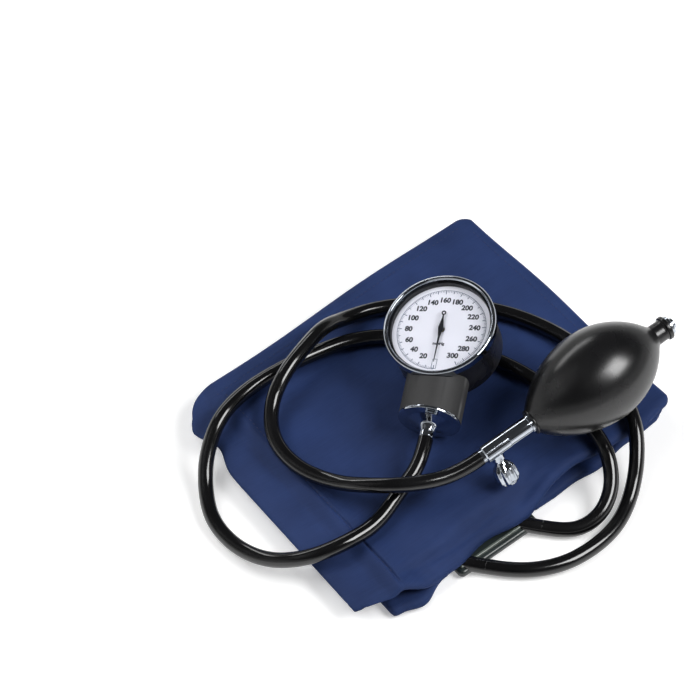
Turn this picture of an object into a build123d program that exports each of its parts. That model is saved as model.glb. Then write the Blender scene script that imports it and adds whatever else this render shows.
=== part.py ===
from build123d import *
import math
import os

# Aneroid sphygmomanometer, laid out ready to put away: an arm cuff folded in three, a dial gauge
# with its bellows can, a squeeze bulb with its valves, and the two hoses between them.
# Millimetres. X runs along the folded cuff, Y across it and Z up from the table.
# The origin is on the table under the middle of the cuff.

# How far a cut runs past the face that it opens
cut_past = 1.0

# Cuff
layer_thickness = 5.0
layer_gap = 0.4
edge_round = 1.6
fold_corner_back = (-81.5, 70.0)
fold_corner_front = (-89.0, -65.0)
turn_corner_front = (90.0, -73.0)
turn_corner_back = (87.0, 76.5)
lower_free_front = (-79.0, -69.0)
lower_free_back = (-79.0, 69.0)
upper_free_front = (87.5, -66.5)
upper_free_back = (84.0, 78.5)
patch_length = 50.0
patch_width = 100.0
patch_thickness = 1.6
patch_clearance = 0.1

# Bladder in the cuff's lower layer
pocket_length = 130.0
pocket_width = 112.0
pocket_height = 3.0
pocket_clearance = 0.2
pocket_middle = (-8.0, 2.0)
pocket_floor = 1.0
pocket_lap = 2.0
port_block_length = 46.0
port_block_height = 4.2
port_block_round = 1.7
port_block_middle = -21.0
port_block_front = -73.0
neck_heading = -50.0
neck_spacing = 33.0
neck_clearance = 0.4

# Hoses
hose_diameter = 7.0
hose_bore = 4.4
hose_grip = 7.0
nipple_run = 13.0
valve_run = 13.5
gauge_neck_run = 10.7
bulb_neck_run = 13.0
bore_clearance = 0.02
rest_clearance = 0.1

# Hose routes, chosen by hand: corners between the fittings at the two ends
gauge_hose_route = (
    (-45.0, -30.5, 22.0),
    (-63.0, -37.0, 19.8),
    (-83.0, -36.5, 21.4),
    (-97.5, -30.5, 17.5),
    (-107.5, -16.5, 8.0),
    (-113.0, 0.5, 3.8),
    (-113.0, 18.0, 3.6),
    (-106.0, 33.0, 4.4),
    (-97.0, 44.0, 12.0),
    (-84.0, 51.5, 21.2),
    (-66.0, 57.0, 20.2),
    (-46.0, 57.5, 19.7),
    (-26.0, 55.0, 19.7),
    (-7.5, 50.5, 19.7),
    (8.0, 41.0, 19.8),
    (22.0, 25.0, 19.6),
    (33.5, 8.0, 19.6),
    (41.5, -10.0, 19.6),
    (45.5, -30.0, 19.6),
    (46.5, -50.0, 20.0),
    (43.5, -69.0, 20.0),
    (37.5, -80.5, 12.8),
    (28.0, -87.0, 8.0),
    (17.5, -88.0, 4.8),
)
bulb_hose_route = (
    (-42.5, -37.5, 32.6),
    (-57.0, -25.5, 31.0),
    (-65.5, -8.0, 21.2),
    (-72.5, 10.0, 19.6),
    (-71.5, 28.0, 20.4),
    (-62.0, 41.5, 24.0),
    (-49.0, 47.5, 31.4),
    (-32.5, 53.0, 32.6),
    (-18.5, 58.0, 30.4),
    (-4.0, 61.0, 22.0),
    (13.5, 58.0, 19.7),
    (32.0, 47.0, 19.7),
    (48.0, 33.0, 19.7),
    (61.0, 16.0, 19.7),
    (69.5, -3.5, 19.7),
    (73.0, -24.0, 19.7),
    (71.5, -45.0, 20.0),
    (64.5, -64.0, 21.8),
    (55.5, -77.5, 14.8),
    (44.0, -87.5, 5.4),
    (28.5, -95.5, 3.6),
    (11.0, -98.0, 3.6),
    (-7.0, -95.5, 3.6),
)

# Gauge: dial centre on the bezel's front plane, and how the gauge lies on the cuff
gauge_centre = (13.0, 13.8, 51.6)
gauge_heading = -140.3
gauge_dip = 9.25
gauge_roll = 13.2

# Gauge case and dial. Depths are below the bezel's front plane
bezel_wall = 1.4
bezel_lip_width = 1.5
bezel_lip = 1.0
bezel_break = 0.5
bezel_edge = 1.3
bezel_height = 5.0
crystal_thickness = 1.2
fit_clearance = 0.1
case_radius = 24.5
case_wall = 1.2
case_depth = 24.0
dial_thickness = 0.5
dial_depth = 5.2
dial_ledge_width = 1.8
dial_ledge_height = 1.2
ring_width = 1.0
dial_hole_radius = 1.6

# Movement
plate_rim_clearance = 2.3
plate_thickness = 1.2
plate_depth = 17.4
bridge_thickness = 1.0
bridge_depth = 9.0
bridge_eye_radius = 2.6
gear_module = 0.24
pinion_teeth = 10
gear_ratio = 11
sector_teeth = 15
sector_spare_teeth = 1
sector_rim_teeth = 1
addendum_share = 0.8
dedendum_share = 1.25
tooth_root_overlap = 0.1
pinion_tooth_share = 0.28
sector_tooth_root_share = 0.64
sector_tooth_tip_share = 0.24
pinion_length = 2.2
sector_thickness = 1.0
sector_depth = 13.0
sector_swing = 30.0
sector_hub_radius = 2.0
sector_hub_rise = 0.4
sector_window_outer = 11.4
spoke_width = 1.2
spoke_inset = 3.0
sector_pivot_offset = 3.0
pinion_arbor_radius = 0.5
sector_arbor_radius = 0.6
pivot_clearance = 0.05
lever_reach = 5.0
lever_drop = 1.0
lever_height = 1.6
lever_thickness = 1.4
lever_clearance = 0.12
pillar_radius = 1.5
near_pillar_place = (9.5, -2.0)
far_pillar_angle = 235.5
pillar_edge = 0.1
boss_radius = 2.2
boss_inset = 5.0
boss_angles = (35.0, 145.0, 300.0)
screw_radius = 0.8
screw_length = 3.2
screw_head_radius = 1.4
screw_head_height = 0.8
screw_clearance = 0.05
screw_hole_spare = 0.5
screw_slot_width = 0.4
screw_slot_depth = 0.35

# Pointer
pointer_margin = 7.0
pointer_tail = 8.0
pointer_width = 0.9
pointer_tip_width = 0.3
pointer_belly = 2.4
pointer_shoulder = 4.8
pointer_thickness = 0.3
pointer_depth = 3.9
pointer_ring_radius = 1.1
collet_radius = 1.2
collet_height = 1.0

# Bellows can, capsule and push rod. Distances run from the dial centre towards the nipple
can_radius = 14.2
can_wall = 1.0
can_axis_depth = 15.6
can_drop = 16.5
can_top_wall = 1.2
cap_flange_height = 1.2
cap_spigot_height = 2.5
cap_edge = 0.5
cap_cone_radius = 8.4
cap_cone_height = 4.2
cap_neck_radius = 3.6
nipple_radius = 3.4
nipple_length = 4.0
barb_radius = hose_bore / 2 - bore_clearance
barb_count = 2
barb_depth = 0.4
barb_length = hose_grip - rest_clearance
nipple_bore = 1.0
capsule_radius = 12.0
capsule_height = 8.0
capsule_rim = 2.0
capsule_ridge = 4.0
capsule_waist = 4.4
capsule_pad = 3.0
rod_radius = 0.75
rod_tip_radius = 0.15
rod_foot_radius = 2.6
rod_foot_height = 0.8
rod_gap = 0.15
guide_radius = 1.8
guide_head_radius = 2.4
guide_head_height = 0.5

# Hanger clip on the back of the case
clip_width = 9.0
clip_thickness = 1.0
clip_standoff = 5.6
clip_foot_start = 4.0
clip_bend_start = 17.0
clip_free_end = -6.0
clip_lip = 4.0
clip_lip_rise = 1.2
rivet_places = (7.5, 13.5)
rivet_radius = 0.9
rivet_head_radius = 1.7
rivet_head_height = 0.6

# Bulb: where the fullest part of its axis is, and how it lies
bulb_centre = (48.5, -49.4, 45.9)
bulb_heading = -4.0
bulb_rise = 11.0
bulb_front = 33.9
bulb_back = 33.7
bulb_radius = 21.8
bulb_fullest = 3.0
bulb_bands = 6
bulb_shoulder = 2.0
bulb_wall = 2.5
cavity_half_length = 8.0
bulb_front_neck_radius = 5.6
bulb_rear_neck_radius = 4.8
bulb_rear_neck_length = 9.5
bulb_rear_bead_radius = 5.6
bulb_bead_length = 2.0

# Valve on the bulb's front. Distances run from the release screw's axis towards the bulb
valve_radius = 4.2
valve_edge = 0.5
valve_front = -5.4
valve_joint = 7.2
check_radius = 4.05
check_flange_radius = 4.6
check_flange_length = 1.3
joint_groove = 0.35
valve_collar_radius = 3.3
valve_collar_length = 1.6
valve_bore = 1.2
spigot_radius = 3.0
valve_tail_radius = 3.2
valve_tail_length = 8.0
release_lean = 31.5
release_seat = 1.6
release_seat_radius = 0.8
release_tip_radius = 0.5
release_tip_length = 1.2
release_stem_radius = 1.5
release_stem_end = 9.0
release_boss_radius = 3.1
release_boss_end = 5.6
knob_start = 6.0
knob_neck_radius = 2.4
knob_neck_length = 0.8
knob_cone_end = 11.8
knob_radius = 5.4
knob_end = 19.0
knob_flutes = 8
knob_flute_radius = 1.2
knob_flute_start = 8.0
knob_chamfer = 1.0
check_chamber_start = 8.6
check_tail_start = 20.4
chamber_radius = 2.6
chamber_length = 2.2
flap_radius = 2.2
flap_thickness = 0.9
flap_clearance = 0.1

# Inlet valve in the bulb's rear neck
inlet_radius = 3.4
inlet_length = 10.0
inlet_flange_radius = 4.6
inlet_flange_length = 1.6
inlet_tip_radius = 2.6
inlet_tip_length = 1.8
inlet_bore = 1.1
inlet_seat_depth = 2.0


def unit_from_angles(heading, rise):
    """Unit vector at a heading in the XY plane and a rise above it, in degrees."""
    flat = math.cos(math.radians(rise))
    x = flat * math.cos(math.radians(heading))
    y = flat * math.sin(math.radians(heading))
    return Vector(x, y, math.sin(math.radians(rise)))


def at_angle(radius, angle):
    """Point in the XY plane at a radius and an angle in degrees."""
    turn = math.radians(angle)
    return (radius * math.cos(turn), radius * math.sin(turn))


def gauge_plane():
    """Frame of the dial: x to three o'clock, y to twelve o'clock, z out through the crystal."""
    down = unit_from_angles(gauge_heading, -gauge_dip)
    level_side = unit_from_angles(gauge_heading - 90, 0)
    upright = level_side.cross(down)
    roll = math.radians(gauge_roll)
    normal = upright * math.cos(roll) + level_side * math.sin(roll)
    three_oclock = (down * -1).cross(normal)
    return Plane(origin=gauge_centre, x_dir=three_oclock, z_dir=normal)


def valve_plane():
    """Frame of the valve: origin where the release screw's axis meets the bulb's axis, z to the bulb."""
    along = unit_from_angles(bulb_heading, bulb_rise)
    screw_distance = bulb_front + check_tail_start
    origin = Vector(*bulb_centre) - along * screw_distance
    level_side = Vector(0, 0, 1).cross(along).normalized()
    upright = along.cross(level_side)
    lean = math.radians(release_lean)
    side = level_side * math.cos(lean) - upright * math.sin(lean)
    return Plane(origin=origin, x_dir=side, z_dir=along)


def profile(*points):
    """Closed outline of (radius, height) points in the XZ plane."""
    return Plane.XZ * make_face(Polyline(*points, close=True))


def face_from(curves):
    """Face inside a closed chain of lines and arcs."""
    return make_face([edge for curve in curves for edge in curve.edges()])


def lathe(*points):
    """Body of revolution about Z from an outline of (radius, height) points."""
    return revolve(profile(*points), Axis.Z)


def rod(radius, start, end):
    """Cylinder about Z from one height to another."""
    return Pos(0, 0, (start + end) / 2) * Cylinder(radius, abs(end - start))


def disc(radius, start, end, place=(0, 0)):
    """Cylinder parallel to Z at a place in the XY plane."""
    return Pos(*place, 0) * rod(radius, start, end)


def block(x_span, y_span, z_span):
    """Box between the given limits."""
    size = [high - low for low, high in (x_span, y_span, z_span)]
    middle = [(high + low) / 2 for low, high in (x_span, y_span, z_span)]
    return Pos(*middle) * Box(*size)


# Levels in the folded cuff
layer_pitch = layer_thickness + layer_gap
lower_fold_level = layer_thickness + layer_gap / 2
upper_fold_level = lower_fold_level + layer_pitch
fold_radius = layer_thickness + layer_gap / 2


def cloth_layer(corners, level):
    """One layer of the folded cuff, from its corners in plan."""
    plan = make_face(Polyline(*corners, close=True))
    slab = Pos(0, 0, level) * extrude(plan, amount=layer_thickness)
    return fillet(slab.edges().filter_by(Axis.Z), edge_round)


def fold_roll(front, back, level, outward):
    """Half-round fold that joins two layers along the line between two corners."""
    start = Vector(*front, level)
    end = Vector(*back, level)
    along = (end - start).normalized()
    out = Vector(outward, 0, 0)
    out = (out - along * out.dot(along)).normalized()
    section = Circle(fold_radius) - Pos(-fold_radius, 0) * Rectangle(2 * fold_radius, 2 * fold_radius)
    face = Plane(origin=start, x_dir=out, z_dir=along) * section
    return extrude(face, amount=(end - start).length, dir=along)


# Bladder places that follow from the sizes above
port_block_back = pocket_middle[1] - pocket_width / 2 + pocket_lap
neck_turn = math.radians(-neck_heading)
neck_reach = hose_diameter / 2 * (1 + math.cos(neck_turn)) + neck_clearance
neck_length = neck_reach / math.sin(neck_turn)


def port_slot():
    """Opening in the cuff's front edge where the bladder's block and necks come out."""
    half = port_block_length / 2 + pocket_clearance
    x_span = (port_block_middle - half, port_block_middle + half)
    y_span = (port_block_front - neck_length, port_block_back + pocket_clearance)
    top = 2 * rest_clearance + hose_diameter + pocket_clearance
    return block(x_span, y_span, (-layer_gap, top))


def pocket():
    """Room for the bladder inside the lower layer."""
    grow = pocket_clearance
    room = Box(pocket_length + 2 * grow, pocket_width + 2 * grow, pocket_height + 2 * grow)
    return Pos(*pocket_middle, pocket_floor + pocket_height / 2) * room


def patch_places():
    """Middle of each grip patch: the hook patch between the lower layers, the loop patch above it."""
    x = (upper_free_front[0] + lower_free_front[0]) / 2 + patch_length
    y = (lower_free_front[1] + lower_free_back[1]) / 2
    return Vector(x, y, lower_fold_level), Vector(x, y, upper_fold_level)


def grip_patch(place):
    """Thin patch let into the two layers that it lies between."""
    return Pos(*place) * Box(patch_length, patch_width, patch_thickness)


def patch_recess_cut(place):
    """Room for a patch, with a little air round it."""
    air = 2 * patch_clearance
    return Pos(*place) * Box(patch_length + air, patch_width + air, patch_thickness + air)


def cuff():
    """The cloth cuff folded in three, with its pocket for the bladder."""
    lower = cloth_layer((lower_free_front, turn_corner_front, turn_corner_back, lower_free_back), 0)
    middle = cloth_layer(
        (fold_corner_front, turn_corner_front, turn_corner_back, fold_corner_back), layer_pitch
    )
    upper = cloth_layer(
        (fold_corner_front, upper_free_front, upper_free_back, fold_corner_back), 2 * layer_pitch
    )
    right_fold = fold_roll(turn_corner_front, turn_corner_back, lower_fold_level, 1)
    left_fold = fold_roll(fold_corner_front, fold_corner_back, upper_fold_level, -1)
    cloth = lower + middle + upper + right_fold + left_fold - pocket() - port_slot()
    for place in patch_places():
        cloth -= patch_recess_cut(place)
    return cloth


def neck_planes():
    """Frames at the roots of the two bladder necks: the gauge's first, then the bulb's."""
    direction = unit_from_angles(neck_heading, 0)
    level = hose_diameter / 2 + rest_clearance
    planes = []
    for side in (1, -1):
        x = port_block_middle + side * neck_spacing / 2
        origin = (x, port_block_front + hose_diameter / 2, level)
        planes.append(Plane(origin=origin, x_dir=(0, 0, 1), z_dir=direction))
    return planes


def bladder():
    """Flat rubber bladder with the thick block and the two necks that the hoses start from."""
    pouch = Pos(*pocket_middle, pocket_floor + pocket_height / 2)
    pouch *= Box(pocket_length, pocket_width, pocket_height)
    half = port_block_length / 2
    x_span = (port_block_middle - half, port_block_middle + half)
    top = rest_clearance + port_block_height
    lug = block(x_span, (port_block_front, port_block_back), (rest_clearance, top))
    front_edges = lug.edges().filter_by(Axis.X).group_by(Axis.Y)[0]
    lug = fillet(front_edges, port_block_round)
    body = pouch + lug
    for plane in neck_planes():
        body += plane * rod(hose_diameter / 2, 0, neck_length)
        body -= plane * rod(nipple_bore, neck_length - hose_grip, neck_length + cut_past)
    return body


# Gauge frames
dial_plane = gauge_plane()
can_plane = Plane(
    origin=dial_plane.origin - dial_plane.z_dir * can_axis_depth,
    x_dir=dial_plane.x_dir,
    z_dir=dial_plane.y_dir * -1,
)
case_inner_radius = case_radius - case_wall
bezel_radius = case_radius + fit_clearance + bezel_wall
bezel_opening = case_radius - bezel_lip_width
plate_radius = case_inner_radius - plate_rim_clearance
boss_ring_radius = plate_radius - boss_inset
far_pillar_place = at_angle(plate_radius - pillar_radius - pillar_edge, far_pillar_angle)
pillar_places = (near_pillar_place, far_pillar_place)
pointer_length = case_radius - pointer_margin
can_end = case_radius + can_drop
case_rim_depth = bezel_lip + crystal_thickness + 2 * fit_clearance
ledge_depth = dial_depth + dial_thickness
case_floor_depth = case_depth - case_wall
nipple_start = can_end + cap_flange_height + cap_cone_height
nipple_end = nipple_start + nipple_length


def bezel():
    """Bright ring that holds the crystal, with a broken front edge."""
    skirt = case_radius + fit_clearance
    return dial_plane * lathe(
        (bezel_opening, -bezel_lip),
        (bezel_opening, -bezel_break),
        (bezel_opening + bezel_break, 0),
        (bezel_radius - bezel_edge, 0),
        (bezel_radius, -bezel_edge),
        (bezel_radius, -bezel_height),
        (skirt, -bezel_height),
        (skirt, -bezel_lip),
    )


def crystal():
    """Clear disc under the bezel's lip."""
    top = -bezel_lip - fit_clearance
    return dial_plane * rod(case_radius, top - crystal_thickness, top)


def dial_ring():
    """Dark inner ring that keeps the dial down on its ledge."""
    outer = case_inner_radius - fit_clearance
    ring = rod(outer, -dial_depth, -case_rim_depth)
    return dial_plane * (ring - rod(outer - ring_width, -case_depth, 0))


def dial():
    """Flat white dial with its centre hole."""
    plate = rod(case_inner_radius - fit_clearance, -dial_depth - dial_thickness, -dial_depth)
    return dial_plane * (plate - rod(dial_hole_radius, -case_depth, 0))


def boss_places():
    """Where the movement plate is screwed to the case."""
    return [at_angle(boss_ring_radius, angle) for angle in boss_angles]


def screw_hole(place, level):
    """Blind hole for a screw whose head sits at a level."""
    radius = screw_radius + screw_clearance
    return disc(radius, level - screw_length - screw_hole_spare, level + cut_past, place)


def gauge_case():
    """Cup of the gauge with the dial's ledge, the movement's bosses and the push rod's passage."""
    ledge_inner = case_inner_radius - dial_ledge_width
    cup = lathe(
        (0, -case_depth),
        (case_radius, -case_depth),
        (case_radius, -case_rim_depth),
        (case_inner_radius, -case_rim_depth),
        (case_inner_radius, -ledge_depth),
        (ledge_inner, -ledge_depth),
        (ledge_inner, -ledge_depth - dial_ledge_height),
        (case_inner_radius, -ledge_depth - dial_ledge_height),
        (case_inner_radius, -case_floor_depth),
        (0, -case_floor_depth),
    )
    plate_back = -plate_depth - plate_thickness
    for place in boss_places():
        cup += disc(boss_radius, -case_floor_depth - case_wall / 2, plate_back, place)
        cup -= screw_hole(place, -plate_depth)
    for y in rivet_places:
        cup -= disc(rivet_radius, -case_depth - cut_past, -case_floor_depth + cut_past, (0, y))
    passage = Pos(0, 0, -can_axis_depth) * Rot(90, 0, 0) * rod(guide_radius, 0, case_radius + cut_past)
    return dial_plane * (cup - passage)


def movement_plate():
    """Base plate of the movement, flat under the gears."""
    plate = rod(plate_radius, -plate_depth - plate_thickness, -plate_depth)
    for place in boss_places():
        plate -= screw_hole(place, -plate_depth)
    plate -= rod(pinion_arbor_radius + pivot_clearance, -case_depth, 0)
    plate -= disc(sector_arbor_radius + pivot_clearance, -case_depth, 0, sector_pivot)
    return dial_plane * plate


def pillars():
    """Two posts that carry the bridge."""
    posts = []
    for place in pillar_places:
        post = disc(pillar_radius, -plate_depth, -bridge_depth - bridge_thickness, place)
        posts.append(dial_plane * (post - screw_hole(place, -bridge_depth)))
    return Compound(posts)


def bridge_eye(place):
    """Round end of the bridge about a pivot or a pillar."""
    return Pos(*place) * Circle(bridge_eye_radius)


def bridge():
    """Waisted bridge over the gears, from pillar to pillar."""
    centres = (pillar_places[0], (0, 0), sector_pivot, pillar_places[1])
    outline = Sketch()
    for start, end in zip(centres, centres[1:]):
        outline += make_hull([*bridge_eye(start).edges(), *bridge_eye(end).edges()])
    bar = Pos(0, 0, -bridge_depth - bridge_thickness) * extrude(outline, amount=bridge_thickness)
    for place in pillar_places:
        bar -= screw_hole(place, -bridge_depth)
    bar -= rod(pinion_arbor_radius + pivot_clearance, -case_depth, 0)
    bar -= disc(sector_arbor_radius + pivot_clearance, -case_depth, 0, sector_pivot)
    return dial_plane * bar


# Gear sizes that follow from the module and the tooth counts
pinion_pitch_radius = gear_module * pinion_teeth / 2
sector_pitch_radius = pinion_pitch_radius * gear_ratio
centre_distance = pinion_pitch_radius + sector_pitch_radius
sector_pivot = (-sector_pivot_offset, -math.sqrt(centre_distance**2 - sector_pivot_offset**2))
pivot_angle = math.degrees(math.atan2(sector_pivot[1], sector_pivot[0]))
addendum = addendum_share * gear_module
dedendum = dedendum_share * gear_module
sector_pitch_angle = 360 / (pinion_teeth * gear_ratio)


def gear_tooth(pitch_radius, root_half, tip_half):
    """Tooth pointing along X, narrowing from its root to its tip."""
    root = pitch_radius - dedendum - tooth_root_overlap
    tip = pitch_radius + addendum
    corners = ((root, -root_half), (tip, -tip_half), (tip, tip_half), (root, root_half))
    return make_face(Polyline(*corners, close=True))


def pinion():
    """Small gear with its arbor, from the plate up to the pointer."""
    half = math.pi * gear_module * pinion_tooth_share / 2
    section = Circle(pinion_pitch_radius - dedendum)
    for index in range(pinion_teeth):
        turn = pivot_angle + index * 360 / pinion_teeth
        section += Rot(0, 0, turn) * gear_tooth(pinion_pitch_radius, half, half)
    gear = Pos(0, 0, -sector_depth - sector_thickness / 2 - pinion_length / 2)
    gear *= extrude(section, amount=pinion_length)
    arbor = rod(pinion_arbor_radius, -plate_depth - plate_thickness + fit_clearance, -pointer_depth)
    return dial_plane * (gear + arbor)


def sector_section():
    """Toothed sector with a window on each side of its middle spoke, pivot at the origin."""
    first = -(sector_teeth - 1 - sector_spare_teeth)
    last = sector_spare_teeth
    start = pivot_angle + 180 + (first + 0.5 - sector_rim_teeth) * sector_pitch_angle
    end = pivot_angle + 180 + (last + 0.5 + sector_rim_teeth) * sector_pitch_angle
    root = sector_pitch_radius - dedendum
    middle = (start + end) / 2
    rim = ring_sector(root, sector_window_outer, start, end)
    body = rim + Circle(sector_hub_radius)
    for spoke in (start + spoke_inset, middle, end - spoke_inset):
        reach = (sector_window_outer + root) / 2
        arm = Pos(reach / 2, 0) * Rectangle(reach, spoke_width)
        body += Rot(0, 0, spoke) * arm
    root_half = math.pi * gear_module * sector_tooth_root_share / 2
    tip_half = math.pi * gear_module * sector_tooth_tip_share / 2
    for index in range(first, last + 1):
        turn = pivot_angle + 180 + (index + 0.5) * sector_pitch_angle
        body += Rot(0, 0, turn) * gear_tooth(sector_pitch_radius, root_half, tip_half)
    return body


def ring_sector(outer, inner, start, end):
    """Flat band between two radii and two angles, in degrees."""
    middle = (start + end) / 2
    outer_arc = ThreePointArc(at_angle(outer, start), at_angle(outer, middle), at_angle(outer, end))
    inner_arc = ThreePointArc(at_angle(inner, end), at_angle(inner, middle), at_angle(inner, start))
    sides = (Line(outer_arc @ 1, inner_arc @ 0), Line(inner_arc @ 1, outer_arc @ 0))
    return face_from([outer_arc, sides[0], inner_arc, sides[1]])


def sector_gear():
    """Sector with its hub, arbor and the lever that the push rod lifts."""
    plate = extrude(sector_section(), amount=sector_thickness)
    plate = Pos(0, 0, -sector_depth - sector_thickness) * plate
    lever_top = -can_axis_depth + lever_thickness / 2
    lever_span = (lever_top - lever_thickness, lever_top)
    lever = block((0, lever_reach), (-lever_drop, lever_height - lever_drop), lever_span)
    lever = Rot(0, 0, -sector_swing / 2) * lever
    hub = rod(sector_hub_radius, lever_top - lever_thickness, -sector_depth + sector_hub_rise)
    arbor_foot = -plate_depth - plate_thickness + fit_clearance
    arbor = rod(sector_arbor_radius, arbor_foot, -bridge_depth - fit_clearance)
    return dial_plane * Pos(*sector_pivot, 0) * (plate + lever + hub + arbor)


def screw(place, level):
    """Cheese-head screw with a driver slot, head resting at a level."""
    head = disc(screw_head_radius, level, level + screw_head_height, place)
    shank = disc(screw_radius, level - screw_length, level, place)
    top = level + screw_head_height
    slot = Pos(*place, top) * Box(2 * screw_head_radius, screw_slot_width, 2 * screw_slot_depth)
    return head + shank - slot


def movement_screws():
    """Screws that hold the bridge to its pillars and the plate to the case."""
    screws = [screw(place, -bridge_depth) for place in pillar_places]
    screws += [screw(place, -plate_depth) for place in boss_places()]
    return Compound([dial_plane * item for item in screws])


def pointer():
    """Needle at zero, with its belly at the hub, its tail ring and its collet on the arbor."""
    tip_half = pointer_tip_width / 2
    needle = make_face(
        Polyline(
            (-tip_half, -pointer_length),
            (tip_half, -pointer_length),
            (pointer_width / 2, -pointer_shoulder),
            (pointer_belly / 2, 0),
            (pointer_width / 2, pointer_shoulder),
            (tip_half, pointer_tail),
            (-tip_half, pointer_tail),
            (-pointer_width / 2, pointer_shoulder),
            (-pointer_belly / 2, 0),
            (-pointer_width / 2, -pointer_shoulder),
            close=True,
        )
    )
    needle += Pos(0, pointer_tail) * Circle(pointer_ring_radius)
    needle -= Pos(0, pointer_tail) * Circle(pointer_ring_radius / 2)
    blade = Pos(0, 0, -pointer_depth) * extrude(needle, amount=pointer_thickness)
    collet = rod(collet_radius, -pointer_depth - collet_height / 2, -pointer_depth + collet_height / 2)
    body = blade + collet - rod(pinion_arbor_radius, -case_depth, -pointer_depth)
    return dial_plane * body


def bellows_housing():
    """Grey can under the case: its top edge follows the case's side, and a wall closes it there."""
    shell = rod(can_radius, 0, can_end)
    shell -= rod(can_radius - can_wall, -cut_past, can_end + cut_past)
    top = case_radius + fit_clearance
    shell += rod(can_radius - can_wall / 2, top, top + can_top_wall)
    shell -= rod(guide_radius, 0, can_end)
    body = dial_plane.to_local_coords(can_plane * shell)
    body -= rod(case_radius + fit_clearance, -2 * case_depth, 0)
    body -= rod(bezel_radius + 2 * fit_clearance, -bezel_height - 2 * fit_clearance, cut_past)
    return dial_plane * body


def rod_guide():
    """Bush through the case and the can's top wall, in which the push rod slides."""
    start = case_inner_radius - fit_clearance
    end = case_radius + fit_clearance + can_top_wall
    bush = rod(guide_radius, start, end) + rod(guide_head_radius, end, end + guide_head_height)
    return can_plane * (bush - rod(rod_radius + pivot_clearance, 0, can_end))


def barb_outline(start):
    """Outline points of the barbs inside a hose, from a height upwards."""
    step = barb_length / barb_count
    points = []
    for index in range(barb_count):
        level = start + index * step
        points.append((barb_radius, level))
        points.append((barb_radius - barb_depth, level + step))
    return points


def bottom_cap():
    """Bright cap of the can, drawn in to the nipple and its barbs."""
    spigot = can_radius - can_wall - fit_clearance
    cone_start = can_end + cap_flange_height
    outline = [
        (nipple_bore, can_end - cap_spigot_height),
        (spigot, can_end - cap_spigot_height),
        (spigot, can_end),
        (can_radius, can_end),
        (can_radius, cone_start - cap_edge),
        (can_radius - cap_edge, cone_start),
        (cap_cone_radius, cone_start),
        (cap_neck_radius, nipple_start),
        (nipple_radius, nipple_start),
        (nipple_radius, nipple_end),
        *barb_outline(nipple_end),
        (nipple_bore, nipple_end + barb_length),
    ]
    return can_plane * lathe(*outline)


def capsule():
    """Corrugated capsule of two dished discs, standing on the cap."""
    base = can_end - cap_spigot_height
    middle = base - capsule_height / 2
    half = [
        (capsule_radius, capsule_rim / 2),
        (capsule_radius - capsule_ridge, capsule_rim / 2),
        (capsule_radius - capsule_ridge, capsule_waist / 2),
        (capsule_pad, capsule_waist / 2),
        (capsule_pad, capsule_height / 2),
        (0, capsule_height / 2),
    ]
    lower = [(radius, middle + height) for radius, height in half]
    upper = [(radius, middle - height) for radius, height in half]
    return can_plane * lathe(*lower, *reversed(upper))


def push_rod():
    """Rod from the capsule's pad to the lever, pointed at the lever."""
    foot = can_end - cap_spigot_height - capsule_height - rod_gap
    contact = lever_drop / math.cos(math.radians(sector_swing / 2))
    contact += sector_pivot_offset * math.tan(math.radians(sector_swing / 2))
    tip = -sector_pivot[1] + contact + lever_clearance
    outline = (
        (0, foot),
        (rod_foot_radius, foot),
        (rod_foot_radius, foot - rod_foot_height),
        (rod_radius, foot - rod_foot_height),
        (rod_radius, tip + rod_radius - rod_tip_radius),
        (rod_tip_radius, tip),
        (0, tip),
    )
    return can_plane * lathe(*outline)


def hanger_clip():
    """Bent strip on the back of the case that hangs the gauge from the cuff."""
    back = -case_depth
    outer = back - clip_standoff
    middle = (back + outer) / 2
    reach = clip_standoff / 2
    inner_reach = reach - clip_thickness
    crown = (clip_bend_start + reach, middle)
    bend = ThreePointArc((clip_bend_start, back), crown, (clip_bend_start, outer))
    inner_bend = ThreePointArc(
        (clip_bend_start, outer + clip_thickness),
        (clip_bend_start + inner_reach, middle),
        (clip_bend_start, back - clip_thickness),
    )
    edges = [
        Line((clip_foot_start, back), bend @ 0),
        bend,
        Polyline(
            bend @ 1,
            (clip_free_end, outer),
            (clip_free_end - clip_lip, outer - clip_lip_rise),
            (clip_free_end - clip_lip, outer - clip_lip_rise + clip_thickness),
            (clip_free_end, outer + clip_thickness),
            inner_bend @ 0,
        ),
        inner_bend,
        Polyline(inner_bend @ 1, (clip_foot_start, back - clip_thickness), (clip_foot_start, back)),
    ]
    strip = extrude(Plane.YZ * face_from(edges), amount=clip_width / 2, both=True)
    for y in rivet_places:
        strip -= disc(rivet_radius, back - clip_thickness - cut_past, back + cut_past, (0, y))
    return dial_plane * strip


def clip_rivets():
    """Two rivets through the clip's foot and the back of the case."""
    outer = -case_depth - clip_thickness
    inner = -case_floor_depth
    rivets = []
    for y in rivet_places:
        shank = disc(rivet_radius, outer, inner, (0, y))
        head = disc(rivet_head_radius, outer - rivet_head_height, outer, (0, y))
        tail = disc(rivet_head_radius, inner, inner + rivet_head_height, (0, y))
        rivets.append(dial_plane * (shank + head + tail))
    return Compound(rivets)


# Bulb and valve frames
bulb_axis = unit_from_angles(bulb_heading, bulb_rise)
valve_frame = valve_plane()
bulb_plane = Plane(origin=bulb_centre, x_dir=valve_frame.x_dir, z_dir=bulb_axis)
release_plane = Plane(
    origin=valve_frame.origin, x_dir=valve_frame.z_dir, z_dir=valve_frame.y_dir * -1
)


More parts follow.
